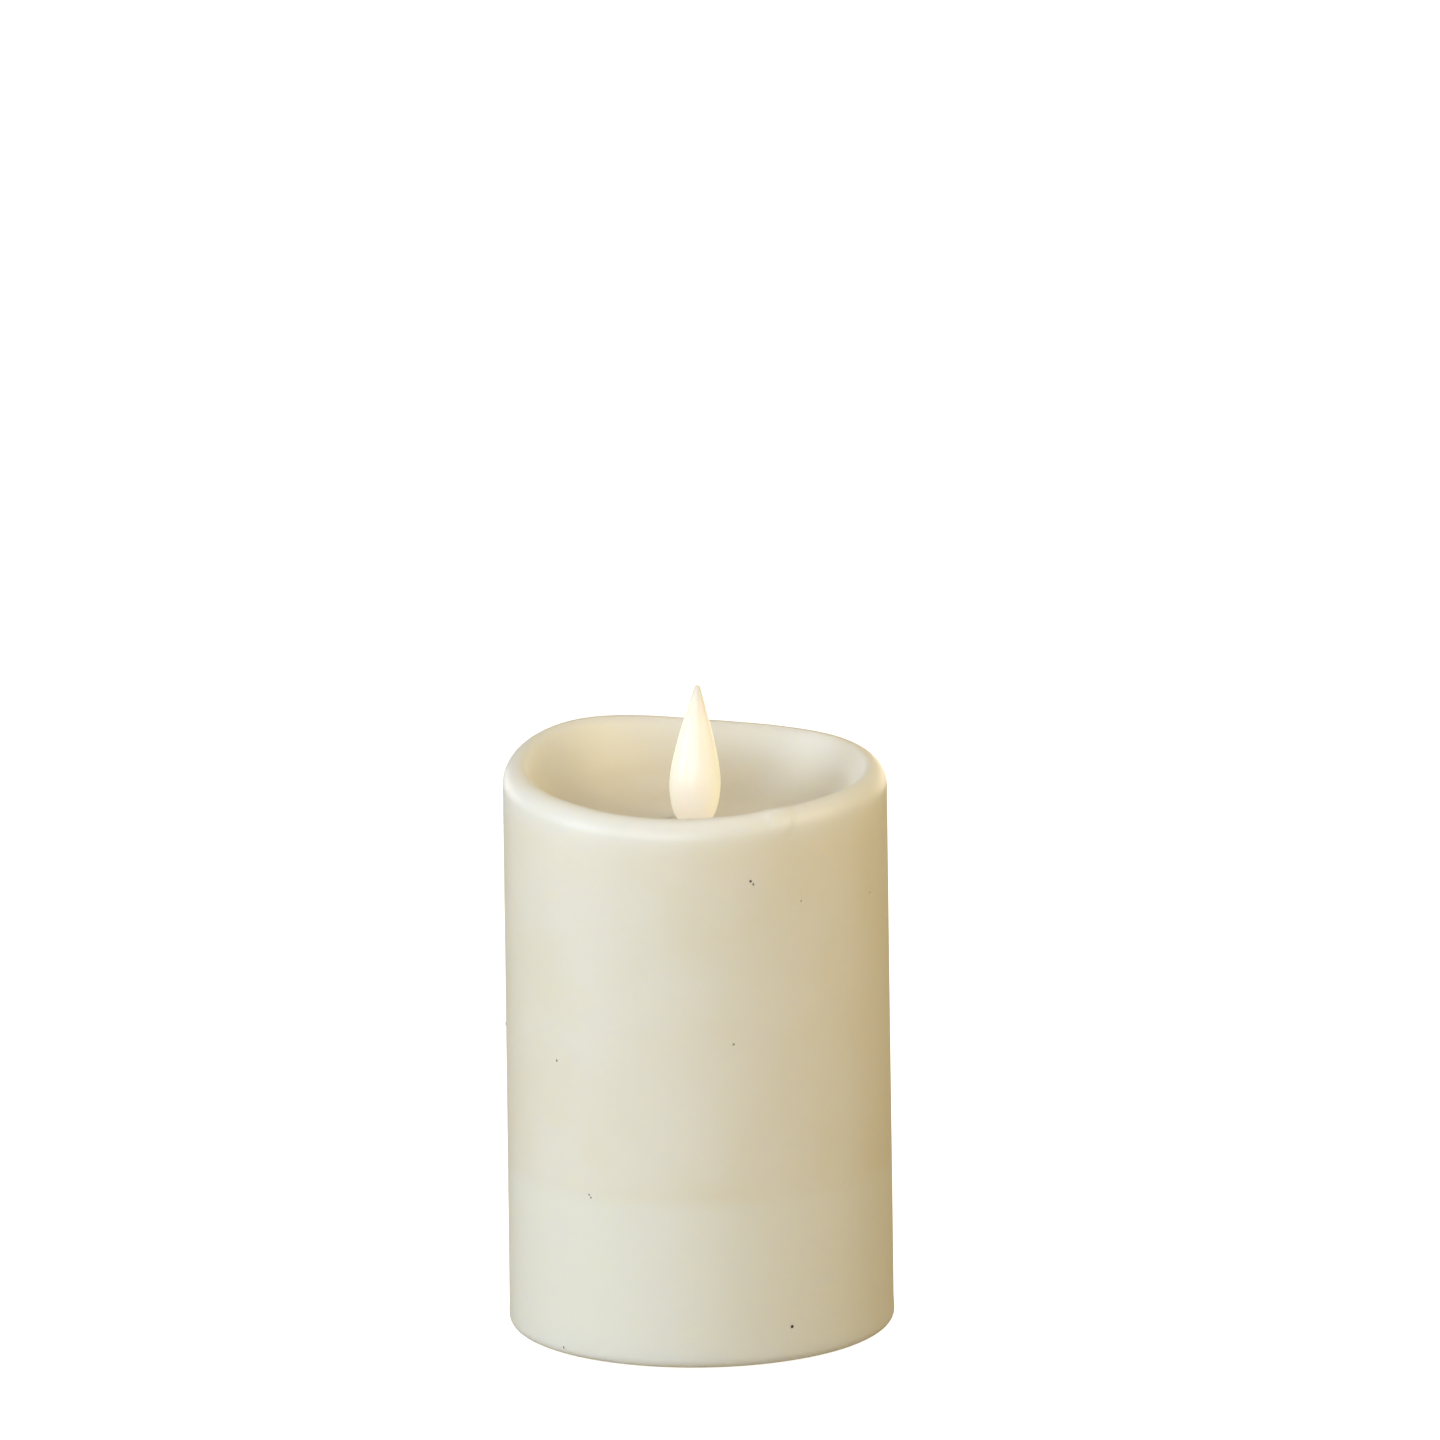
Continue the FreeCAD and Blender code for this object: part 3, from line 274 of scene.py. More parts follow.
def outline(angle):
    """(radius, height) points of the wax at one angle."""
    crest = rim_height(angle)
    shoulder = crest - OUTER_ROUND
    wall_foot = (WAX_RADIUS, FOOT_LIFT + FOOT_ROUND)
    wall_top = (wall_radius(shoulder), shoulder)
    points = [(RECESS_RADIUS, FOOT_LIFT), (WAX_RADIUS - FOOT_ROUND, FOOT_LIFT)]
    points += quarter(points[-1], wall_foot, FOOT_STEPS, first="out")
    points += straight(wall_foot, wall_top, WALL_STEPS)
    points += quarter(wall_top, (CREST_RADIUS, crest), ROUND_STEPS, first="up")
    points += bowl_side(crest, BOWL_STEPS)
    points += straight((FLOOR_RADIUS, FLOOR_HEIGHT), (HOLE_RADIUS + HOLE_ROUND, FLOOR_HEIGHT), steps=10)
    points += quarter(points[-1], (HOLE_RADIUS, FLOOR_HEIGHT - HOLE_ROUND), steps=4, first="out")
    points += straight(points[-1], (HOLE_RADIUS, BORE_TOP), steps=3)
    points += straight(points[-1], (BORE_RADIUS - BORE_ROUND, BORE_TOP), steps=6)
    points += quarter(points[-1], (BORE_RADIUS, BORE_TOP - BORE_ROUND), steps=6, first="out")
    points += straight(points[-1], (BORE_RADIUS, RECESS_TOP), steps=20)
    points += straight(points[-1], (RECESS_RADIUS, RECESS_TOP), steps=2)
    return points


print("points in one outline:", len(outline(0.0)))

# %% [markdown]
# ## What heat and handling did to the wax
# A real casting isn't a perfect turned shape. Its wall dips here and there by up to about a tenth of a
# millimetre. Where the rim was melted back, a soft tongue of wax ran over the crest at the front
# right, and the inside of the rim kept a shallow groove on that side. These are moved points, not
# bump, so that they also change the outline and the highlights. Smooth noise gives the dips, and each
# size of dip is read from another part of the noise, so that they don't line up.

# %% Unevenness, the tongue of wax and the groove
WALL_SWELL = 0.05 * MM
SWELL_AROUND, SWELL_PER_METRE = 1.7, 22
RIPPLE_AROUND, RIPPLE_PER_METRE, RIPPLE_START, RIPPLE_SHARE = 5.0, 70, 3, 0.35
RIM_SWELL = 0.12 * MM
RIM_AROUND, RIM_PER_METRE, RIM_START = 2.1, 60, 7
TONGUE_ANGLE = math.radians(-63.5)
TONGUE_HALF_WIDTH = 3.8 * MM
TONGUE_LENGTH = 5.7 * MM
TONGUE_THICK = 0.4 * MM
TONGUE_RISE = 0.3 * MM
TONGUE_FULL = 0.62
GROOVE_MIDDLE = math.radians(-18)
GROOVE_HALF_ANGLE = math.radians(58)
GROOVE_FULL = 0.45
GROOVE_RADIUS, GROOVE_WIDTH, GROOVE_DEPTH = 35.4 * MM, 0.9 * MM, 0.45 * MM
RIDGE_RADIUS, RIDGE_WIDTH, RIDGE_RISE = 33.7 * MM, 0.8 * MM, 0.35 * MM


def angle_from(angle, middle):
    """Signed difference of two angles, between minus and plus half a turn."""
    return (angle - middle + math.pi) % (2 * math.pi) - math.pi


def push_outward(angle, radius, height):
    """How far a point moves out from the axis; the noise minus 1 is below zero, so the wall only dips."""
    direction = Vector((math.cos(angle), math.sin(angle), 0))
    swell = noise.noise(direction * SWELL_AROUND + Vector((0, 0, height * SWELL_PER_METRE))) - 1
    ripple_place = direction * RIPPLE_AROUND + Vector((RIPPLE_START, 0, height * RIPPLE_PER_METRE))
    ripple = noise.noise(ripple_place) - 1
    across = angle_from(angle, TONGUE_ANGLE) * radius / TONGUE_HALF_WIDTH
    below = max(0.0, rim_height(angle) - height) / TONGUE_LENGTH
    lobe = 1 - smooth_step(math.hypot(across, below), TONGUE_FULL, 1.0)
    outer = smooth_step(radius, CREST_RADIUS - 1 * MM, CREST_RADIUS + 1 * MM)
    return (swell + RIPPLE_SHARE * ripple) * WALL_SWELL + TONGUE_THICK * lobe * outer


def lift(angle, radius):
    """How far a point on top of the rim or in the bowl moves up."""
    direction = Vector((math.cos(angle), math.sin(angle), 0))
    rise = noise.noise(direction * RIM_AROUND + Vector((RIM_START, radius * RIM_PER_METRE, 0))) * RIM_SWELL
    off_middle = abs(angle_from(angle, GROOVE_MIDDLE))
    fade = 1 - smooth_step(off_middle, GROOVE_FULL * GROOVE_HALF_ANGLE, GROOVE_HALF_ANGLE)
    groove = GROOVE_DEPTH * math.exp(-((radius - GROOVE_RADIUS) / GROOVE_WIDTH) ** 2)
    ridge = RIDGE_RISE * math.exp(-((radius - RIDGE_RADIUS) / RIDGE_WIDTH) ** 2)
    across = abs(angle_from(angle, TONGUE_ANGLE) * radius)
    tongue = 1 - smooth_step(across, TONGUE_HALF_WIDTH * 0.3, TONGUE_HALF_WIDTH * 1.2)
    tongue *= smooth_step(radius, CREST_RADIUS - 5 * MM, CREST_RADIUS) * TONGUE_RISE
    return rise + fade * (ridge - groove) + tongue


print("tongue stands out by", round(push_outward(TONGUE_ANGLE, 40 * MM, 120 * MM) / MM, 2), "mm")

# %% [markdown]
# ## The skin of the pillar
# The outlines at 480 angles make the skin, half a millimetre apart round the outside. Only the points
# that can be seen are pushed about: those of the wall, the rim and the bowl. Sideways moves fade out
# near the foot and inside the bowl, and upward moves fade out on the floor and down the outer side.

# %% Build the pillar
AROUND = 480
WALL_START = FOOT_STEPS + 2
BOWL_END = WALL_START + WALL_STEPS + ROUND_STEPS + BOWL_STEPS


def pushed(angle, radius, height):
    """A point of the visible skin after it has been moved out or in and up or down."""
    sideways = smooth_step(radius, CREST_RADIUS - 4 * MM, CREST_RADIUS) * smooth_step(height, 3 * MM, 6 * MM)
    upwards = smooth_step(height, FLOOR_HEIGHT, FLOOR_HEIGHT + 4 * MM)
    upwards *= 1 - smooth_step(radius, CREST_RADIUS + 1.0 * MM, CREST_RADIUS + 2.6 * MM)
    return radius + push_outward(angle, radius, height) * sideways, height + lift(angle, radius) * upwards


def wax_rows():
    """Rows of points round the pillar, from the foot up the wall, over the rim and down the inside."""
    angles = [2 * math.pi * i / AROUND for i in range(AROUND)]
    outlines = [outline(angle) for angle in angles]
    rows = []
    for row in range(len(outlines[0])):
        points = []
        for angle, ring_outline in zip(angles, outlines):
            radius, height = ring_outline[row]
            if WALL_START <= row <= BOWL_END:
                radius, height = pushed(angle, radius, height)
            points.append((radius * math.cos(angle), radius * math.sin(angle), height))
        rows.append(points)
    return rows


wax_skin = ring_skin(wax_rows())
print("wax skin:", len(wax_skin.faces), "faces")

# %% [markdown]
# ## Pinholes and small marks
# Air bubbles at the mould's wall leave a few pinholes, most of them with dark dust in them. Handling
# adds a short scratch and a nub of stray wax. They are about a millimetre across or less, finer than
# the skin's grid can draw, so the faces round each one are divided first and the points are then
# pressed in or drawn out.

# %% Small marks in the wall
DUSTY_MARKS = (  # angle in degrees, then height, radius and depth in mm
    (-73.6, 105.9, 0.44, 0.38),
    (-72.8, 105.2, 0.36, 0.30),
    (-57.2, 100.4, 0.40, 0.22),
    (-25.5, 98.1, 0.40, 0.25),
    (-79.4, 71.1, 0.36, 0.30),
    (-137.0, 65.0, 0.42, 0.35),
    (-124.8, 37.2, 0.34, 0.28),
    (-124.2, 36.7, 0.34, 0.28),
    (-62.2, 8.6, 0.55, 0.50),
    (-135.6, 2.6, 0.42, 0.35),
    (-75.5, 116.9, 0.25, 0.15))
CLEAN_MARKS = (  # the same, with nothing in them; a negative depth stands proud
    (-57.6, 101.8, 0.35, 0.25),
    (-178.9, 66.5, 0.70, -0.22),
    (-42.9, 36.6, 0.40, 0.10),
    (-42.2, 37.2, 0.40, 0.12),
    (-41.5, 37.9, 0.40, 0.10),
    (-95.1, 1.6, 0.60, 0.25))
GRID_STEP = 0.6 * MM
DIVIDED_REACHES = (3.2, 2.0)  # in radii of the mark: a wide round of dividing, then a narrow one
FLAT_MIDDLE = 0.3


def wall_place(angle, height):
    """Point on the wall at an angle in degrees and a height in mm."""
    a = math.radians(angle)
    radius = wall_radius(height * MM)
    return Vector((radius * math.cos(a), radius * math.sin(a), height * MM))


def near_place(skin, place, reach):
    """Points of the skin within reach of a place; the height is tested first, because that is quick."""
    return [v for v in skin.verts if abs(v.co.z - place.z) < reach and (v.co - place).length < reach]


def press_mark(skin, place, radius, depth):
    """Divides the faces near a place and presses a round dent, or draws out a nub."""
    for reach in DIVIDED_REACHES:
        near = set(near_place(skin, place, reach * radius + GRID_STEP))
        edges = {edge for v in near for edge in v.link_edges if edge.other_vert(v) in near}
        bmesh.ops.subdivide_edges(skin, edges=list(edges), cuts=1, use_grid_fill=True)
    inward = -Vector((place.x, place.y, 0)).normalized()
    for v in near_place(skin, place, radius):
        away = (v.co - place).length
        v.co += inward * depth * (1 - smooth_step(away, FLAT_MIDDLE * radius, radius))


for angle, height, radius, depth in (*DUSTY_MARKS, *CLEAN_MARKS):
    press_mark(wax_skin, wall_place(angle, height), radius * MM, depth * MM)
print("after the marks:", len(wax_skin.faces), "faces")

# %% [markdown]
# ## Paraffin wax
# Paraffin is milky: light goes several millimetres in and comes out warmer, which softens shadows.
# A Principled shader with subsurface scattering does that. Wax has an index of about 1.44 and a soft,
# greasy gloss, so its roughness sits in the middle. Painted light: the wall is painted paler up to 37 mm
# for light that the plastic base unit behind it sends back, and the rim and top of the wall are painted
# paler and less yellow for light through the thin rim. Slow noise gives the cloudiness of cooling wax, and
# fine noise in the bump gives its orange-peel skin, drawn at 1.5 mm. Dust in a pinhole is opaque, so it
# takes the scattering away as well as the colour, or the light in the wax around it would wash it out.

# %% Wax material
BASE_UNIT_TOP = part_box("base_cover")[0].z + 1.8 * MM
# Painted light: the third colour is the wall painted paler where the base unit behind sends light back
# through the wax, and the fourth is the rim and top of the wall painted paler and less yellow for light
# passing through the thin rim.
IVORY, WARM_IVORY, BACKLIT_IVORY, THIN_RIM_LIT_IVORY = "E6E1D5", "E4DECE", "E6E4DA", "E4E3DF"
DUST = "3A2E1C"
CLOUD_SIZE = 22 * MM
PEEL_SIZE = 1.5 * MM
wax, tree, wax_shader = new_material("cast_paraffin_wax", Roughness=0.36, IOR=1.44, Subsurface_Scale=0.008,
                                     Subsurface_Radius=(1.0, 0.93, 0.7))
place = add_node(tree, "TexCoord").outputs["Object"]
height = add_node(tree, "SeparateXYZ", {"Vector": place}).outputs["Z"]
cloud = add_node(tree, "TexNoise", {"Vector": place, "Scale": 1 / CLOUD_SIZE, "Detail": 3.0})
cloudy = add_node(tree, "MapRange", {"Value": cloud.outputs["Fac"], "From Min": 0.35, "From Max": 0.7},
                  interpolation_type="SMOOTHSTEP")
ivory = add_node(tree, "Mix", {"Factor": cloudy.outputs["Result"], MIX_A: linear(IVORY),
                               MIX_B: linear(WARM_IVORY)}, data_type="RGBA")
# Painted light: the wall up to just above the base unit's top is painted paler, for light that the plastic
# behind the wax sends back through it.
painted_backlight = add_node(tree, "MapRange", {"Value": height, "From Min": BASE_UNIT_TOP + 2.5 * MM,
                                     "From Max": BASE_UNIT_TOP - 2.0 * MM, "To Max": 0.8},
                  interpolation_type="SMOOTHSTEP")
body_colour = add_node(tree, "Mix", {"Factor": painted_backlight.outputs["Result"], MIX_A: ivory.outputs[MIXED],
                                     MIX_B: linear(BACKLIT_IVORY)}, data_type="RGBA")
# Painted light: the rim and the top of the wall, inside and out from about 110 mm up, are painted paler and
# less yellow, for light that passes through the thin rim.
flat_place = add_node(tree, "VectorMath", {0: place, 1: (1.0, 1.0, 0.0)}, operation="MULTIPLY")
from_axis = add_node(tree, "VectorMath", {0: flat_place.outputs["Vector"]}, operation="LENGTH")
outside = add_node(tree, "MapRange", {"Value": from_axis.outputs["Value"],
                                      "From Min": FLOOR_RADIUS + 8 * MM, "From Max": CREST_RADIUS,
                                      "To Max": 0.85}, interpolation_type="SMOOTHSTEP")
high_up = add_node(tree, "MapRange", {"Value": height, "From Min": FLOOR_HEIGHT,
                                      "From Max": RIM_MEAN - OUTER_ROUND}, interpolation_type="SMOOTHSTEP")
painted_rim_light = add_node(tree, "Math", {0: outside.outputs["Result"], 1: high_up.outputs["Result"]},
                    operation="MULTIPLY")
wax_colour = add_node(tree, "Mix", {"Factor": painted_rim_light.outputs["Value"], MIX_A: body_colour.outputs[MIXED],
                                    MIX_B: linear(THIN_RIM_LIT_IVORY)}, data_type="RGBA")
print("pale band ends at", round(BASE_UNIT_TOP / MM, 1), "mm")

# %% [markdown]
# ## Dust in the pinholes
# Each pinhole is found again by the distance from its bottom, so the dust lies exactly in the dents.
# The deeper the hole, the darker its dust. The largest of all the values is the mask for dust.

# %% Dust mask and the finished pillar
mask = 0.0
for angle, mark_height, radius, depth in DUSTY_MARKS:
    bottom = wall_place(angle, mark_height)
    bottom -= Vector((bottom.x, bottom.y, 0)).normalized() * depth * MM
    reach = math.hypot(0.6 * radius, 0.8 * depth) * MM
    away = add_node(tree, "VectorMath", {0: place, 1: bottom}, operation="DISTANCE")
    inside = add_node(tree, "MapRange", {"Value": away.outputs["Value"], "From Min": reach,
                                         "From Max": 0.6 * reach, "To Max": min(1.0, 2.2 * depth)},
                      interpolation_type="SMOOTHSTEP")
    larger = add_node(tree, "Math", {0: mask, 1: inside.outputs["Result"]}, operation="MAXIMUM")
    mask = larger.outputs["Value"]
dusty_colour = add_node(tree, "Mix", {"Factor": mask, MIX_A: wax_colour.outputs[MIXED],
                                      MIX_B: linear(DUST)}, data_type="RGBA")
milkiness = add_node(tree, "Math", {0: 1.0, 1: mask}, operation="SUBTRACT")
peel = add_node(tree, "TexNoise", {"Vector": place, "Scale": 1 / PEEL_SIZE, "Detail": 2.0})
bump = add_node(tree, "Bump", {"Strength": 0.05, "Distance": 0.05 * MM, "Height": peel.outputs["Fac"]})
tree.links.new(dusty_colour.outputs[MIXED], wax_shader.inputs["Base Color"])
tree.links.new(milkiness.outputs["Value"], wax_shader.inputs["Subsurface Weight"])
tree.links.new(bump.outputs["Normal"], wax_shader.inputs["Normal"])
pillar = finish_mesh(wax_skin, "wax_pillar", wax, "candle")
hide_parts("wax_shell")
print("pillar:", len(pillar.data.vertices), "points,", len(DUSTY_MARKS), "dusty marks")

# %% [markdown]
# ## The flame
# The flame is blow-moulded milky plastic: a round teardrop on a neck, with an LED inside its foot. Its
# outline needs only a few heights, and a smooth curve goes through them. It leans two degrees to the
# right, because such flames are pushed in by hand.

# %% The flame's outline
FLAME_POINTS = ((2.9, 108.0), (3.0, 109.8), (4.05, 111.3), (4.75, 113.0), (5.25, 115.6), (5.42, 118.8),
                (4.95, 122.8), (3.75, 128.2), (2.4, 133.2), (1.3, 137.1))  # radius and height in mm
TIP_RADIUS = 0.74
FLAME_TIP = 139.6
FLAME_WALL = 0.8
FLAME_LEAN = math.radians(2.0)
FLAME_SHIFT = -0.25 * MM
FLAME_FOOT = 110.4 * MM
FLAME_AROUND = 96


def smooth_through(points, steps):
    """Catmull-Rom curve through (radius, height) points."""
    ends = [points[0], *points, points[-1]]
    made = []
    for a, b, c, d in zip(ends, ends[1:], ends[2:], ends[3:]):
        for step in range(steps):
            t = step / steps
            made.append(tuple(0.5 * (2 * q + (r - p) * t + (2 * p - 5 * q + 4 * r - s) * t ** 2
                                     + (3 * q - p - 3 * r + s) * t ** 3) for p, q, r, s in zip(a, b, c, d)))
    return [*made, points[-1]]


def flame_profile():
    """(radius, height) in mm: up the inside of the moulding's wall from the top, then up the outside."""
    profile = smooth_through(FLAME_POINTS, 6)
    slope = math.atan2(FLAME_POINTS[-1][0] - TIP_RADIUS, FLAME_TIP - TIP_RADIUS - FLAME_POINTS[-1][1])
    for step in range(7):
        turn = slope + (math.pi / 2 - slope) * step / 6
        profile.append((TIP_RADIUS * math.cos(turn), FLAME_TIP - TIP_RADIUS * (1 - math.sin(turn))))
    inner = [(max(0.05, r - FLAME_WALL), h) for r, h in profile if h < FLAME_TIP - 3]
    return [*reversed(inner), *profile[:-1]]


def build_flame():
    """Skin of the flame, closed at the tip outside and inside, and leaning a little."""
    profile = flame_profile()
    rows = []
    for r, h in profile:
        turns = [2 * math.pi * i / FLAME_AROUND for i in range(FLAME_AROUND)]
        rows.append([(r * MM * math.cos(turn), r * MM * math.sin(turn), h * MM) for turn in turns])
    skin = ring_skin(rows, closed=False)
    for z in (profile[0][1] * MM, profile[-1][1] * MM):
        open_edge = [e for e in skin.edges if e.is_boundary and abs(e.verts[0].co.z - z) < 0.6 * MM]
        bmesh.ops.holes_fill(skin, edges=open_edge)
    lean = Matrix.Translation((FLAME_SHIFT, 0, FLAME_FOOT)) @ Matrix.Rotation(FLAME_LEAN, 4, "Y") \
        @ Matrix.Translation((0, 0, -FLAME_FOOT))
    bmesh.ops.transform(skin, matrix=lean, verts=skin.verts)
    return skin


flame_skin = build_flame()
print("flame skin:", len(flame_skin.faces), "faces")

# %% [markdown]
# ## Lit milky plastic
# The plastic is a milky polypropylene, lit from its foot. The brightest part is above the middle,
# where the LED's beam meets the narrowing wall. The tip is out of the beam and stays the cool grey of
# the plastic, and the right side is yellow, where the beam leans. The emission follows the piece's own
# height and width, so it stays put from every side.

# %% Flame material
GLOW_STOPS = ((0.0, "E6E4D0"), (0.2, "EBEAD8"), (0.45, "F6F2DE"), (0.7, "F8F5DE"), (0.88, "E6DCC8"),
              (1.0, "B4AEA8"))
YELLOW_SIDE = "F4F2C2"
lit, tree, lit_shader = new_material("lit_milky_polypropylene", Roughness=0.35, IOR=1.49,
                                     Base_Color=linear("C8C8BC"), Subsurface_Weight=0.6,
                                     Subsurface_Scale=0.002, Emission_Strength=0.46)
place = add_node(tree, "TexCoord").outputs["Object"]
parts = add_node(tree, "SeparateXYZ", {"Vector": place})
level = add_node(tree, "MapRange", {"Value": parts.outputs["Z"], "From Min": 110 * MM,
                                    "From Max": FLAME_TIP * MM})
beam = add_node(tree, "ValToRGB", {"Fac": level.outputs["Result"]}, stops=GLOW_STOPS)
to_right = add_node(tree, "MapRange", {"Value": parts.outputs["X"], "From Min": 1.5 * MM,
                                       "From Max": 5.5 * MM}, interpolation_type="SMOOTHSTEP")
glow = add_node(tree, "Mix", {"Factor": to_right.outputs["Result"], MIX_A: beam.outputs["Color"],
                              MIX_B: linear(YELLOW_SIDE)}, data_type="RGBA")
tree.links.new(glow.outputs[MIXED], lit_shader.inputs["Emission Color"])
flame = finish_mesh(flame_skin, "led_flame", lit, "candle")
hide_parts("flame_shell")
print("flame from", FLAME_POINTS[0][1], "to", FLAME_TIP, "mm")

# %% [markdown]
# ## Moulded and extruded plastics
# The base, its door and the works inside keep their CAD shapes, and each gets the finish of what it is.
# A mould that was eroded by sparks leaves a fine grain, which breaks up the gloss so that ivory ABS
# looks dry. Acetal is waxier, epoxy for chips is dull and grey-black, silicone feet are milky and
# matt, and extruded PVC on the wires is smooth and fairly shiny. Hot glue cools with a wavy skin.

# %% Moulded plastics
FLOW_SIZE = 17 * MM


def shade(code, amount):
    """A hex colour made darker by a factor."""
    return "".join(f"{round(int(code[i:i + 2], 16) * amount):02X}" for i in (0, 2, 4))


def moulded_plastic(name, code, roughness, grain, depth, index=1.54):
    """Plastic with the mould's grain, sizes in mm, and a little uneven tone from the way the melt ran."""
    material, tree, shader = new_material(name, Roughness=roughness, IOR=index)
    place = add_node(tree, "TexCoord").outputs["Object"]
    flow = add_node(tree, "TexNoise", {"Vector": place, "Scale": 1 / FLOW_SIZE, "Detail": 2.0})
    streaky = add_node(tree, "MapRange", {"Value": flow.outputs["Fac"], "From Min": 0.3, "From Max": 0.7})
    tone = add_node(tree, "Mix", {"Factor": streaky.outputs["Result"], MIX_A: linear(code),
                                  MIX_B: linear(shade(code, 0.95))}, data_type="RGBA")
    grainy = add_node(tree, "TexNoise", {"Vector": place, "Scale": 1 / (grain * MM), "Detail": 1.0})
    bump = add_node(tree, "Bump", {"Strength": 0.4, "Distance": depth * MM, "Height": grainy.outputs["Fac"]})
    tree.links.new(tone.outputs[MIXED], shader.inputs["Base Color"])
    tree.links.new(bump.outputs["Normal"], shader.inputs["Normal"])
    return material


ivory_abs = moulded_plastic("spark_grained_ivory_abs", "E4DECF", 0.48, grain=0.35, depth=0.03)
white_abs = moulded_plastic("moulded_white_abs", "ECEAE4", 0.4, grain=0.35, depth=0.02)
black_pom = moulded_plastic("moulded_black_acetal", "1E1E1F", 0.42, grain=0.3, depth=0.02, index=1.48)
black_epoxy = moulded_plastic("moulded_black_epoxy", "232324", 0.6, grain=0.2, depth=0.03, index=1.55)
feet_silicone = moulded_plastic("moulded_silicone", "D9D6CC", 0.55, grain=0.5, depth=0.02, index=1.41)
red_pvc = moulded_plastic("extruded_red_pvc", "B3211C", 0.35, grain=0.8, depth=0.02, index=1.53)
black_pvc = moulded_plastic("extruded_black_pvc", "1B1B1B", 0.35, grain=0.8, depth=0.02, index=1.53)
white_pvc = moulded_plastic("extruded_white_pvc", "E3E2DD", 0.35, grain=0.8, depth=0.02, index=1.53)
hot_glue = moulded_plastic("cooled_hot_glue", "DDD4B6", 0.3, grain=3.0, depth=0.15, index=1.48)
print("plastics ready, the finest grain is 0.2 mm")

# %% [markdown]
# ## Plated metals and solder
# Springs and contacts are nickel-plated steel, bright and slightly yellow, with fine lines left from
# rolling or drawing. Screws are zinc plated, duller and bluish. Tinned legs are whiter and softer, the
# crystal's can was drawn in a press, and solder froze smooth and shiny. One function makes them all:
# noise that is stretched along the metal varies the roughness, and the metals differ in tone and gloss.

# %% Metals
def plated_metal(name, code, roughness, line):
    """Plated metal whose rolling or drawing lines, this many mm apart, vary its roughness."""
    material, tree, shader = new_material(name, Metallic=1.0, Base_Color=linear(code))
    place = add_node(tree, "TexCoord").outputs["Object"]
    stretched = add_node(tree, "Mapping", {"Vector": place, "Scale": (1.0, 1.0, 0.05)})
    lines = add_node(tree, "TexNoise", {"Vector": stretched.outputs["Vector"], "Scale": 1 / (line * MM)})
    rough = add_node(tree, "MapRange", {"Value": lines.outputs["Fac"], "To Min": roughness * 0.7,
                                        "To Max": roughness * 1.3})
    tree.links.new(rough.outputs["Result"], shader.inputs["Roughness"])
    return material


nickel = plated_metal("nickel_plated_spring_steel", "C9C4B8", 0.25, line=0.2)
zinc = plated_metal("zinc_plated_steel", "B9BEC2", 0.38, line=0.3)
tin = plated_metal("tinned_copper", "CFCDC8", 0.3, line=0.2)
solder = plated_metal("reflowed_solder", "C6C8CA", 0.22, line=0.6)
can_steel = plated_metal("drawn_can_steel", "BFC1C2", 0.3, line=0.15)
print("metals ready")

# %% [markdown]
# ## The circuit board
# The board is woven glass in epoxy under a coat of green solder mask. The mask is glossy, and the
# crossings of the weave show through it as slightly paler squares. Two wave textures at right angles,
# multiplied together, give those squares. At scale 1 a wave texture makes 20 / tau waves to the metre,
# and the glass threads lie half a millimetre apart, which sets the scale.

# %% Circuit board
THREAD_SPACING = 0.5 * MM
WAVES_PER_METRE = 20 / math.tau
weave_scale = 1 / (WAVES_PER_METRE * THREAD_SPACING)
board, tree, board_shader = new_material("solder_masked_glass_epoxy", Roughness=0.35, IOR=1.55,
                                         Coat_Weight=0.4, Coat_Roughness=0.15)
place = add_node(tree, "TexCoord").outputs["Object"]
warp = add_node(tree, "TexWave", {"Vector": place, "Scale": weave_scale, "Distortion": 0.3},
                bands_direction="X")
weft = add_node(tree, "TexWave", {"Vector": place, "Scale": weave_scale, "Distortion": 0.3},
                bands_direction="Y")
crossings = add_node(tree, "Math", {0: warp.outputs["Fac"], 1: weft.outputs["Fac"]}, operation="MULTIPLY")
mask_green = add_node(tree, "Mix", {"Factor": crossings.outputs["Value"], MIX_A: linear("0F4A2C"),
                                    MIX_B: linear("145A37")}, data_type="RGBA")
tree.links.new(mask_green.outputs[MIXED], board_shader.inputs["Base Color"])
print("weave scale:", round(weave_scale))

# %% [markdown]
# ## Cells, capacitor and resistors
# An AA cell wears a printed plastic sleeve. A plain dark sleeve with a copper-coloured band at the
# positive end says what it is with no lettering. The capacitor's sleeve has a pale stripe, and the
# resistors have colour rings in their lacquer. Each pattern steps along one axis of the piece's box.

# %% Printed sleeves and rings
SLEEVE_STOPS = ((0.0, "C8C4BC"), (0.03, "B5703A"), (0.27, "26282B"), (0.97, "C8C4BC"))
RING_STOPS = ((0.0, "C9C7C0"), (0.2, "C9A876"), (0.3, "7A3B1E"), (0.36, "C9A876"), (0.44, "1C1C1C"),
              (0.5, "C9A876"), (0.58, "B3241C"), (0.64, "C9A876"), (0.74, "B08D3C"), (0.8, "C9C7C0"))
STRIPE_STOPS = ((0.0, "AAB0B8"), (0.18, "20263A"))


def banded(name, axis, stops, low, high):
    """A glossy sleeve or lacquer whose colour steps along one axis between two places."""
    material, tree, shader = new_material(name, Roughness=0.3, IOR=1.53)
    place = add_node(tree, "TexCoord").outputs["Object"]
    parts = add_node(tree, "SeparateXYZ", {"Vector": place})
    along = add_node(tree, "MapRange", {"Value": parts.outputs[axis], "From Min": low, "From Max": high})
    bands = add_node(tree, "ValToRGB", {"Fac": along.outputs["Result"]}, stops=stops)
    bands.color_ramp.interpolation = "CONSTANT"
    tree.links.new(bands.outputs["Color"], shader.inputs["Base Color"])
    return material


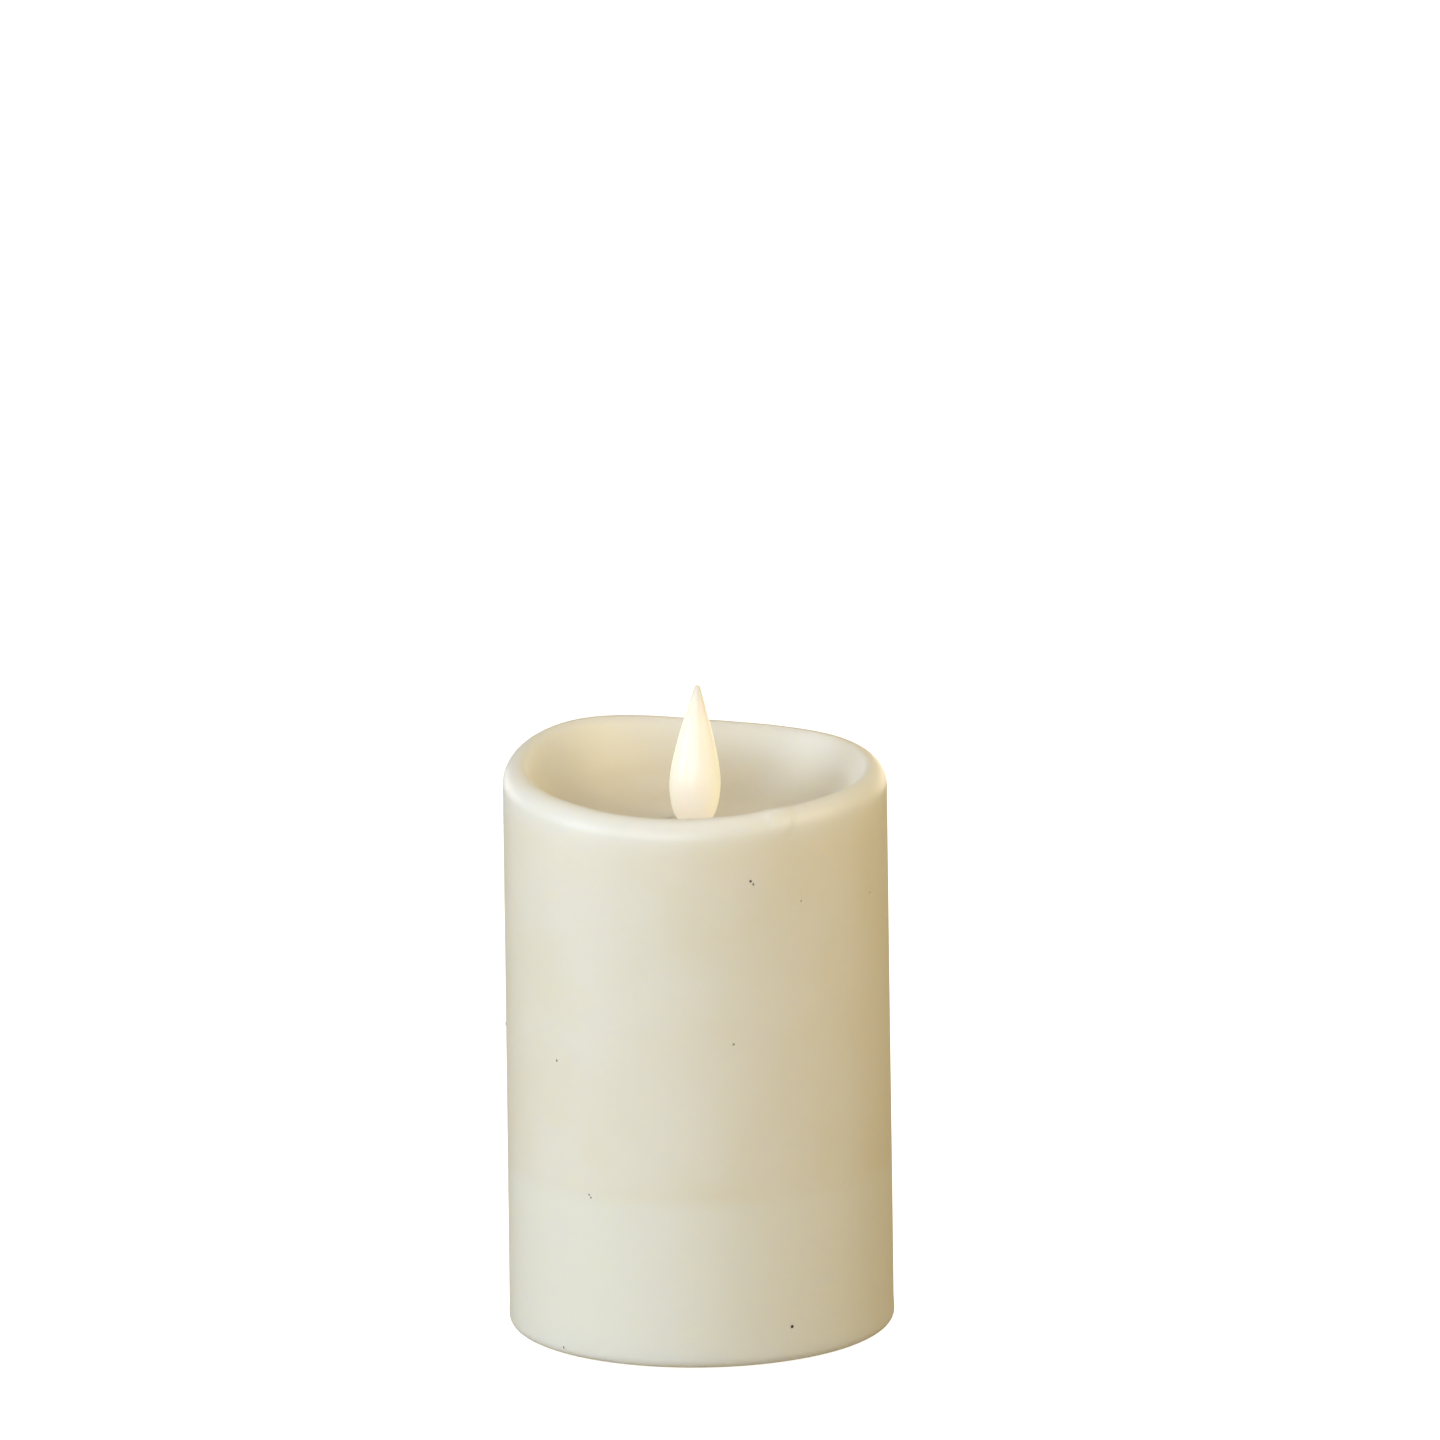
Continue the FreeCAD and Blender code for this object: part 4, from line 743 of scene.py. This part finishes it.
right_low, right_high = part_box("battery_right")
left_low, left_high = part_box("battery_left")
coat_low, coat_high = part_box("resistors")
cap_low, cap_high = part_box("capacitor")
cell_right = banded("printed_pvc_sleeve_right", "X", SLEEVE_STOPS, right_low.x, right_high.x)
cell_left = banded("printed_pvc_sleeve_left", "X", SLEEVE_STOPS, left_high.x, left_low.x)
ring_lacquer = banded("lacquered_resistor_ceramic", "Y", RING_STOPS, coat_low.y, coat_high.y)
cap_sleeve = banded("shrunk_capacitor_sleeve", "X", STRIPE_STOPS, cap_low.x, cap_high.x)
print("a cell is", round((right_high.x - right_low.x) / MM, 1), "mm long")

# %% [markdown]
# ## Clear epoxy with a lamp inside, and who wears what
# The LED is cast in clear epoxy, which looks like glass, and its chip glows warm through it. After
# that, every node that kept its CAD shape gets its finish in its own material slots.

# %% LED and hand out the finishes
led, *_ = new_material("clear_led_epoxy", Roughness=0.1, IOR=1.54, Transmission_Weight=0.6,
                       Base_Color=linear("FFF3D6"), Emission_Color=linear("FFD98C"), Emission_Strength=2.0)
FINISHES = {
    ivory_abs: ("base_cup", "base_cover", "battery_door", "flame_seat"),
    white_abs: ("stem_tube",),
    black_pom: ("switch_slider",),
    black_epoxy: ("timer_chip",),
    feet_silicone: ("foot_pads",),
    red_pvc: ("led_wire_red", "battery_wire_red"),
    black_pvc: ("led_wire_black", "battery_wire_black"),
    white_pvc: ("switch_wire_common", "switch_wire_on", "switch_wire_timer"),
    hot_glue: ("glue_beads",),
    nickel: ("contact_positive", "contact_negative", "contact_bridge", "contact_spring", "bridge_spring",
             "battery_caps"),
    zinc: ("cover_screws", "board_screws"),
    tin: ("led_leads", "chip_legs", "switch_pins"),
    solder: ("solder_joints",),
    can_steel: ("crystal_can", "switch_case"),
    board: ("circuit_board",),
    cell_right: ("battery_right",),
    cell_left: ("battery_left",),
    ring_lacquer: ("resistors",),
    cap_sleeve: ("capacitor",),
    led: ("led_lens",)}
for finish, nodes in FINISHES.items():
    for node in nodes:
        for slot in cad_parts[node].material_slots:
            slot.material = finish
print("finishes given to", sum(len(nodes) for nodes in FINISHES.values()), "nodes")

# %% [markdown]
# ## Floor
# The floor is matt white paper, lit a little from inside as a light table is, so that it stays pale far
# behind the candle. A large glowing sheet would also light the candle from below, flatten its rounding
# and shine in its foot, so the floor is switched off for diffuse and glossy rays: it is seen, and it
# takes shadows.

# %% Floor
FLOOR_HALF = 20.0
floor_mesh = bmesh.new()
bmesh.ops.create_grid(floor_mesh, x_segments=1, y_segments=1, size=FLOOR_HALF)
floor_data = bpy.data.meshes.new("floor")
floor_mesh.to_mesh(floor_data)
floor_mesh.free()
floor = bpy.data.objects.new("floor", floor_data)
bpy.context.scene.collection.objects.link(floor)
paper, *_ = new_material("matt_white_paper", Base_Color=linear("F6F6F5"), Roughness=0.9,
                         Emission_Color=linear("FFFFFF"), Emission_Strength=0.85)
floor_data.materials.append(paper)
floor.visible_diffuse = False
floor.visible_glossy = False
print("floor", 2 * FLOOR_HALF, "m wide")

# %% [markdown]
# ## Lights
# The light from all round is warm, as in a room with lamps and cream walls, and the soft boxes are
# cool, as daylight is: their sum is neutral on the lit side and turns yellow towards the shadow side.
# A long soft box high on the left draws the pale streak along the rim's front left, and a low one
# beside it fills the wall. A big one in front carries the light evenly past the middle. One overhead
# opens up the bowl, and two low ones behind light the back of the wall. A weak yellow one beside the
# rim stands for light that a second candle would throw back. The powers are in watts.

# %% Soft boxes
SOFT_BOXES = (  # name, place in metres, width and height, power, colour
    ("left_key", (-1.04, -0.59, 0.80), (1.4, 0.4), 2.0, "EEF4FF"),
    ("left_low", (-1.3, -0.5, 0.35), (0.6, 0.6), 8.6, "DAEEFF"),
    ("front_box", (-0.46, -1.46, 0.4), (1.0, 1.0), 14.0, "EAF5FF"),
    ("top_box", (0.2, 0.1, 1.6), (0.9, 0.9), 2.8, "F4F6FF"),
    ("back_box", (0.6, 1.3, 0.15), (0.8, 0.5), 2.8, "FFF1DC"),
    ("back_left_box", (-0.9, 1.1, 0.15), (0.8, 0.5), 2.2, "FFFFFF"),
    ("warm_bounce", (0.42, -0.15, 0.34), (0.3, 0.3), 0.9, "FFEAB4"))
LIGHT_AIM = Vector((0, 0, 0.07))


def soft_box(name, place, sides, power, code):
    """Oblong area light that faces the candle and isn't seen itself."""
    data = bpy.data.lights.new(name, "AREA")
    data.shape = "RECTANGLE"
    data.size, data.size_y = sides
    data.energy = power
    data.color = linear(code)[:3]
    light = bpy.data.objects.new(name, data)
    bpy.context.scene.collection.objects.link(light)
    facing = (LIGHT_AIM - Vector(place)).to_track_quat("-Z", "Y")
    light.matrix_world = Matrix.Translation(place) @ facing.to_matrix().to_4x4()
    light.visible_camera = False


for box in SOFT_BOXES:
    soft_box(*box)
world = bpy.data.worlds.new("studio")
bpy.context.scene.world = world
world.use_nodes = True
all_round = world.node_tree.nodes["Background"]
all_round.inputs["Color"].default_value = linear("FFE8B8")
all_round.inputs["Strength"].default_value = 0.33
bpy.context.scene.view_settings.view_transform = "Standard"
print(len(SOFT_BOXES), "soft boxes,", round(sum(box[3] for box in SOFT_BOXES), 1), "W in all")
